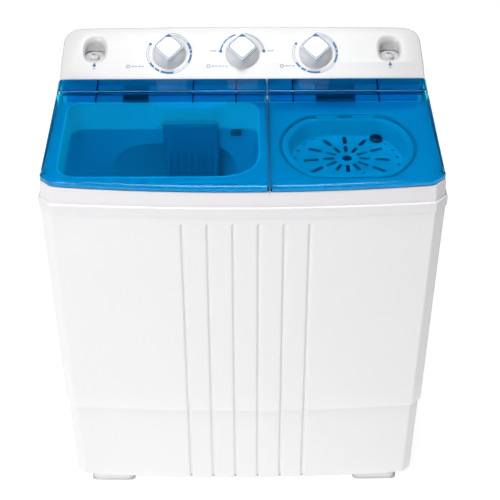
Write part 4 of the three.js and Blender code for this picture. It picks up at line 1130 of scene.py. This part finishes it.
def add_knuckles():
    """The barrels of the lids' hinges, on each lid and on its strip in turn."""
    spans = [
        ("wash_lid", -253.5, -87), ("wash_lid", -10, 41), (BODY, -318, -254.7), (BODY, -85.8, -11.2),
        ("spin_lid", 88.7, 237.3), (BODY, 45, 87.3), (BODY, 238.7, 318),
    ]
    for i, (body, x0, x1) in enumerate(spans):
        rings = []
        for x, r in [(x0, 2.2), (x0 + 0.5, 2.7), (x1 - 0.5, 2.7), (x1, 2.2)]:
            rings.append([(x, HINGE_Y + py, HINGE_Z + pz) for py, pz in circle(r, 20)])
        barrel = solid(f"hinge_barrel_{i + 1}", rings, HINGE_CLEAR)
        y0, y1 = (HINGE_Y, HINGE_Y + 4.2) if body == BODY else (HINGE_Y - 4.2, HINGE_Y)
        web = box("web", x0 + 0.5, x1 - 0.5, y0, y1, HINGE_Z - 1, HINGE_Z + 1.2, HINGE_CLEAR)
        join(barrel, web)
        place(barrel, body, "blue_clear")


# ---------------------------------------------------------------- console
console_low, console_high = box_mm("console_front")
FACE_Y = console_low.y
FACE_SLOPE = math.radians(32)
CONSOLE_BACK = console_high.y
FACE_Z = console_high.z - (CONSOLE_BACK - FACE_Y) * math.tan(FACE_SLOPE)
CONSOLE_HALF = 322.5
FACE_LENGTH = (CONSOLE_BACK - FACE_Y) / math.cos(FACE_SLOPE)
KNOB_V = 51
KNOB_PITCH = 129.5
INLET_X = 262
INLET_Y = 153
POCKET_Y = 159.5


def face_point(x, v, out=0.0):
    """A point on the console's sloping face: x across, v up the face, out of it."""
    c, s = math.cos(FACE_SLOPE), math.sin(FACE_SLOPE)
    return (x, FACE_Y + v * c - out * s, FACE_Z + v * s + out * c)


def face_outline(inset, steps=10):
    """The face's outline as (x, v): square at the front edge, round at the top corners, top edge arched."""
    half = CONSOLE_HALF - inset
    points = []
    bottom = inset * 1.15
    right = [(half, bottom), (half - 1, 30), (half - 4, FACE_LENGTH - 38)]
    points += [(x, v) for x, v in right]
    start = Vector((half - 4, FACE_LENGTH - 38))
    top = FACE_LENGTH - inset * 1.15
    one = Vector((half - 4, top - 14))
    two = Vector((half - 16, top - 3))
    end = Vector((half - 40, top - 2.5))
    for k in range(1, steps + 1):
        t = k / steps
        early = (1 - t) ** 3 * start + 3 * t * (1 - t) ** 2 * one
        points.append(tuple(early + 3 * t * t * (1 - t) * two + t ** 3 * end))
    for k in range(1, 12):
        x = mix(end.x, -end.x, k / 12)
        points.append((x, top - 2.5 * (x / end.x) ** 2))
    mirrored = [(-x, v) for x, v in reversed(points[: 3 + steps])]
    return points + mirrored


def console_ring(inset, drop, z=None):
    ring = []
    for x, v in face_outline(inset):
        _, y, height = face_point(x, v)
        y = min(y, CONSOLE_BACK)
        ring.append((x, y, height - drop if z is None else z))
    return ring


def pocket_outline(x, grow=0.0):
    left, right, front, back = x - 17, x + 17, POCKET_Y - 17, POCKET_Y + 17
    corners = [(left, front, 15), (right, front, 15), (right, back, 17), (left, back, 17)]
    return rounded_outline(corners, grow, 8)


SCOOP_EDGE = 6.5  # how far the scoop's rounding reaches out over the face


def add_console():
    foot = console_low.z
    rings = [console_ring(0, 0, foot)]
    rings += [console_ring(3.4 * run, 3.8 * (1 - rise)) for run, rise in quarter(6)]
    made = solid("console_moulding", rings, CONSOLE)
    inner = [console_ring(3.2, 0, foot - 6), console_ring(3.2, 10), console_ring(6, 6.2)]
    cutters = [solid("cutter", inner, CONSOLE)]
    for x in (-INLET_X, INLET_X):
        outline = pocket_outline(x, SCOOP_EDGE - 0.4)
        cutters.append(solid("cutter", [at_height(outline, z) for z in (725, 820)], CONSOLE))
    cutters.append(box("cutter", -250, 250, CONSOLE_BACK - 12, CONSOLE_BACK + 8, 705, 748, CONSOLE, 5, 3))
    cut(made, *cutters)
    place(made, BODY, "white_plastic", ["console_front"], 30)


def add_pocket(side, x):
    """The scoop round one filling pipe: its wide rounded rim follows the sloping face."""
    def rim(grow, lift):
        ring = []
        for px, py in pocket_outline(x, grow):
            height = FACE_Z + (py - FACE_Y) * math.tan(FACE_SLOPE)
            ring.append((px, py, height + lift))
        return ring

    rings = [rim(SCOOP_EDGE, -6), rim(SCOOP_EDGE, 0.02)]
    rings += [rim(SCOOP_EDGE * (1 - rise), -7.5 * run) for run, rise in quarter(8)[1:]]
    for grow, z in [(-0.4, 737), (-1.6, 734.6), (-3.6, 733.2), (-6, 733)]:
        low = at_height(pocket_outline(x, grow), z)
        rings.append([(px, py, min(z, edge[2] - 0.5)) for (px, py, z), edge in zip(low, rim(grow, -7.5))])
    rings += [at_height(circle_like(pocket_outline(x), x, INLET_Y, 8.2), z) for z in (733, 726)]
    rings.append([(px, py, 726) for px, py, _ in rim(SCOOP_EDGE, 0)])
    made = loft(f"inlet_pocket_{side}", rings, CONSOLE, closed=True)
    place(made, BODY, "white_plastic")


def circle_like(outline, x, y, radius):
    """A circle with one point for each point of another outline, in the same directions."""
    points = []
    for px, py in outline:
        angle = math.atan2(py - y, px - x)
        points.append((x + radius * math.cos(angle), y + radius * math.sin(angle)))
    return points


def add_inlet(side, x):
    _, high = box_mm(f"water_inlet_{side}")
    profile = [
        (5, 722), (7.5, 722), (7.5, high.z - 6), (8.1, high.z - 5.4), (8.1, high.z - 3.6),
        (7.5, high.z - 3), (7.3, high.z - 0.8), (6.8, high.z), (5.6, high.z), (5.1, high.z - 0.6),
        (5, high.z - 2),
    ]
    made = turned(f"water_inlet_pipe_{side}", profile, x, INLET_Y, WHITE, 40)
    place(made, BODY, "white_plastic")
    profile = [(0, 723), (4.9, 723), (4.9, 725), (0, 725)]
    plug = turned(f"water_inlet_depth_{side}", profile, x, INLET_Y, DARK, 24)
    place(plug, BODY, "white_plastic")


# ---------------------------------------------------------------- knobs
KNOB_BODIES = [("wash_timer_knob", -1), ("wash_selector_knob", 0), ("spin_timer_knob", 1)]


def knob_ring(radius, square, out, count=96):
    """A ring of the knob: square 0 is a circle, 1 is a square set cornerwise with rounded corners."""
    ring = []
    for i in range(count):
        a = math.tau * i / count
        folded = (a % (math.pi / 2)) - math.pi / 4
        straight = radius * math.cos(math.pi / 4) / math.cos(folded)
        corner = radius * 0.955
        flat = -1.4 * math.log(math.exp(-min(straight, 60) / 1.4) + math.exp(-corner / 1.4))
        r = mix(radius, flat, square)
        ring.append((r * math.cos(a), r * math.sin(a), out))
    return ring


def on_face(made, x, v):
    """Move a piece made about the origin, with Z out of the face, to its place on the console."""
    turn = Matrix.Rotation(FACE_SLOPE, 4, "X")
    made.data.transform(Matrix.Translation(Vector(face_point(x, v)) * MM) @ turn)
    return made


def add_knob(name, i):
    x = i * KNOB_PITCH
    low_rings = [
        (28.5, 0, 1.25), (29.7, 0, 1.5), (30, 0, 2.2), (29.9, 0, 3.6), (29.4, 0, 5), (28.9, 0.02, 7),
        (28.4, 0.06, 9.4), (28.0, 0.16, 12), (27.8, 0.34, 15), (27.8, 0.6, 18), (27.9, 0.84, 21),
        (28.0, 0.97, 23.4), (28.0, 1, 25.4), (27.7, 1, 26.2), (27.2, 1, 26.6), (26.6, 1, 26.7),
    ]
    made = solid(f"{name}_moulding", [knob_ring(r, square, out) for r, square, out in low_rings], KNOB)
    cut(made, prism("cutter", circle(3.3, 24), -2, 16, KNOB))
    place(on_face(made, x, KNOB_V), name, "white_plastic", [name], 40)
    section = [(26.0, 26.6), (26.0, 26.84), (23.9, 26.84), (23.9, 26.6)]
    line = loft(f"{name}_cap_line", [knob_ring(r, 1, out) for r, out in section], BAND, closed=True)
    place(on_face(line, x, KNOB_V), name, "blue_plastic")
    tip = [(0, 24.9), (-6.9, 18.0), (6.9, 18.0)]
    pointer = prism(f"{name}_pointer", tip, 26.6, 26.86, PRINT)
    place(on_face(pointer, x, KNOB_V), name, "blue_plastic")
    profile = [(0, -0.5), (31.6, -0.5), (31.6, 0.1), (30.9, 0.35), (28, 0.4), (0, 0.4)]
    collar = turned(f"{name}_seat", profile, 0, 0, APRON)
    place(on_face(collar, x, KNOB_V), BODY, "white_plastic")


# ---------------------------------------------------------------- printing on the console
PRINT_OUT = 0.14
PRINT_IN = -0.2  # how far a printed mark is sunk into the face, so that no gap shows


def arc_band(name, radius, width, start, stop, material, x, out=PRINT_OUT):
    """A printed arc round a knob. Degrees, anticlockwise from the right."""
    steps = max(3, int(abs(stop - start) / 3))
    points, faces = [], []
    for k in range(steps + 1):
        a = math.radians(mix(start, stop, k / steps))
        for r in (radius - width / 2, radius + width / 2):
            for z in (PRINT_IN, out):
                points.append((r * math.cos(a), r * math.sin(a), z))
    for k in range(steps):
        a = 4 * k
        b = a + 4
        faces += [(a + 1, a + 3, b + 3, b + 1), (a, a + 1, b + 1, b)]
        faces += [(a + 2, b + 2, b + 3, a + 3), (a, b, b + 2, a + 2)]
    faces += [(0, 2, 3, 1), (4 * steps, 4 * steps + 1, 4 * steps + 3, 4 * steps + 2)]
    made = new_object(name, points, faces, material)
    return place(on_face(made, x, KNOB_V), BODY, "blue_plastic")


def flat_mark(name, outline, material, x, v, out=PRINT_OUT):
    made = prism(name, outline, PRINT_IN, out, material)
    return place(on_face(made, x, v), BODY, "blue_plastic")


DIAL = {"outer": 40.2, "inner": 36.8, "line": 0.75}
DIAL_BANDS = [(33, 13), (10, 0), (-3, -29), (-78, -112), (-117, -130), (-135, -151)]


def dot_on_dial(name, angle, radius, x, ring=38.5):
    a = math.radians(angle)
    flat_mark(name, circle(radius, 24, ring * math.cos(a), ring * math.sin(a)), PRINT, x, KNOB_V, 0.22)


def add_dials():
    for side, i in [("wash", -1), ("spin", 1)]:
        x = i * KNOB_PITCH
        for line in ("outer", "inner"):
            arc_band(f"{side}_dial_{line}", DIAL[line], DIAL["line"], 88, -209, PRINT, x)
        for k, (start, stop) in enumerate(DIAL_BANDS):
            arc_band(f"{side}_dial_band_{k + 1}", 38.5, 3.6, start, stop, BAND, x, PRINT_OUT + 0.04)
        dot_on_dial(f"{side}_dial_end", 151, 2.6, x)
    for k, (start, stop) in enumerate([(172, 152), (150, 132), (130, 108)]):
        arc_band(f"selector_band_{k + 1}", 38.5, 2.8, start, stop, BAND, 0)
    dot_on_dial("selector_dot_left", 174, 3.1, 0)
    for k, radius in enumerate((39.6, 37.4)):
        arc_band(f"selector_line_{k + 1}", radius, 0.75, 84, 6, PRINT, 0)
    dot_on_dial("selector_dot_right", 6, 3.1, 0)


def add_bar(name, x, v, length, height):
    half = height / 2
    corners = [(0, -half, half), (length, -half, half), (length, half, half), (0, half, half)]
    flat_mark(name, rounded_outline([(cx, cy, r * 0.9) for cx, cy, r in corners], 0, 3), PALE_PRINT, x, v)


def add_marks():
    """Generic symbols in place of lettering: a small ring and a row of bars by each knob."""
    for i, (x0, x1) in enumerate([(-205, -172), (-63, -25), (67, 94)]):
        section = [(3.4, PRINT_IN), (3.4, PRINT_OUT), (2.3, PRINT_OUT), (2.3, PRINT_IN)]
        rings = [at_height(circle(r, 24), z) for r, z in section]
        made = loft(f"mark_ring_{i + 1}", rings, PRINT, closed=True)
        place(on_face(made, x0 + 3, 25.5), BODY, "blue_plastic")
        count = round((x1 - x0 - 8) / 6)
        for k in range(count):
            add_bar(f"mark_bar_{i + 1}_{k + 1}", x0 + 9 + k * 6, 25.5, 4.6 - (k % 2), 2.0)
    for side, x in [("left", -57), ("right", 45)]:
        for k in range(2):
            add_bar(f"selector_mark_{side}_{k + 1}", x + k * 6, KNOB_V + 4.5, 4.8, 1.8)
    for side, x in [("left", -262), ("right", 262)]:
        drop = []
        for k in range(32):
            a = math.tau * k / 32
            narrow = 1 - 0.75 * ease((math.sin(a) - 0.1) / 0.9)
            drop.append((3 * math.cos(a) * narrow, 3 * math.sin(a) + 3.2 * ease((math.sin(a) - 0.2) / 0.8)))
        flat_mark(f"inlet_drop_{side}", drop, PRINT, x, 27.5)
        add_bar(f"inlet_bar_{side}", x - 3.5, 21.5, 7, 1.2)


# ---------------------------------------------------------------- back, hinges and machinery
def add_carried_parts():
    """CAD nodes whose shape is right: copied with rounded edges, or kept in a better material."""
    cad_copy("rear_cover", "rear_cover_plate", BODY, WHITE, "white_plastic", 0.5, angle=18)
    cad_copy("console_back", "console_back_plate", BODY, WHITE, "white_plastic", 0.3, angle=18)
    cad_copy("cord_gland", "cord_gland_moulding", BODY, RUBBER, "rubber", 0.5)
    cad_copy("drain_outlet", "drain_outlet_pipe", BODY, GREY, "grey_plastic", 0.5)
    materials = {
        "white_plastic": WHITE, "tub_plastic": TUB, "blue_clear": CLEAR, "blue_plastic": BLUE,
        "grey_plastic": GREY, "black_plastic": BLACK, "rubber": RUBBER, "steel": STEEL, "zinc": ZINC,
        "motor_can": CAN,
    }
    for part in frame["record"]["subparts"]:
        node = frame["nodes"][part["node"]]
        for slot in node.material_slots:
            slot.material = materials[part["material_slot"]]


def add_floor():
    reach = 9000
    corners = [(-reach, -reach, 0), (reach, -reach, 0), (reach, reach, 0), (-reach, reach, 0)]
    made = new_object("floor", corners, [(0, 1, 2, 3)], FLOOR)


FLOOR = plastic("floor_white", (0.93, 0.93, 0.93), 0.6, 0.005, 0.0, glow=0.66)

add_camera()
add_world(1.12, 0.02)
add_area("key", (-1.7, -2.5, 2.6), (0, 0, 0.45), 1.3, 64)
add_area("overhead", (0, -0.3, 3.2), (0, 0, 0.7), 1.5, 54)
bpy.context.scene.view_settings.view_transform = "Standard"

add_cabinet()
add_base()
add_feet()
add_apron()
add_wash_collar()
add_spin_collar()
add_water_channel()
add_filter_hood()
add_wash_tub()
add_lint_filter()
add_lint_catch()
add_spin_casing()
add_spin_basket()
add_pulsator()
add_inner_lid()
add_lid("wash_lid", wash_lid_high.x, -1, "wash_lid")
add_lid("spin_lid", spin_lid_low.x, 1, "spin_lid")
add_lid_ribs()
add_strip("wash_lid_strip", wash_lid_high.x, -1)
add_strip("spin_lid_strip", spin_lid_low.x, 1)
add_knuckles()
add_gap_shade_and_rod()
add_console()
for side, x in [("left", -INLET_X), ("right", INLET_X)]:
    add_pocket(side, x)
    add_inlet(side, x)
for name, i in KNOB_BODIES:
    add_knob(name, i)
add_dials()
add_marks()
add_carried_parts()
add_floor()
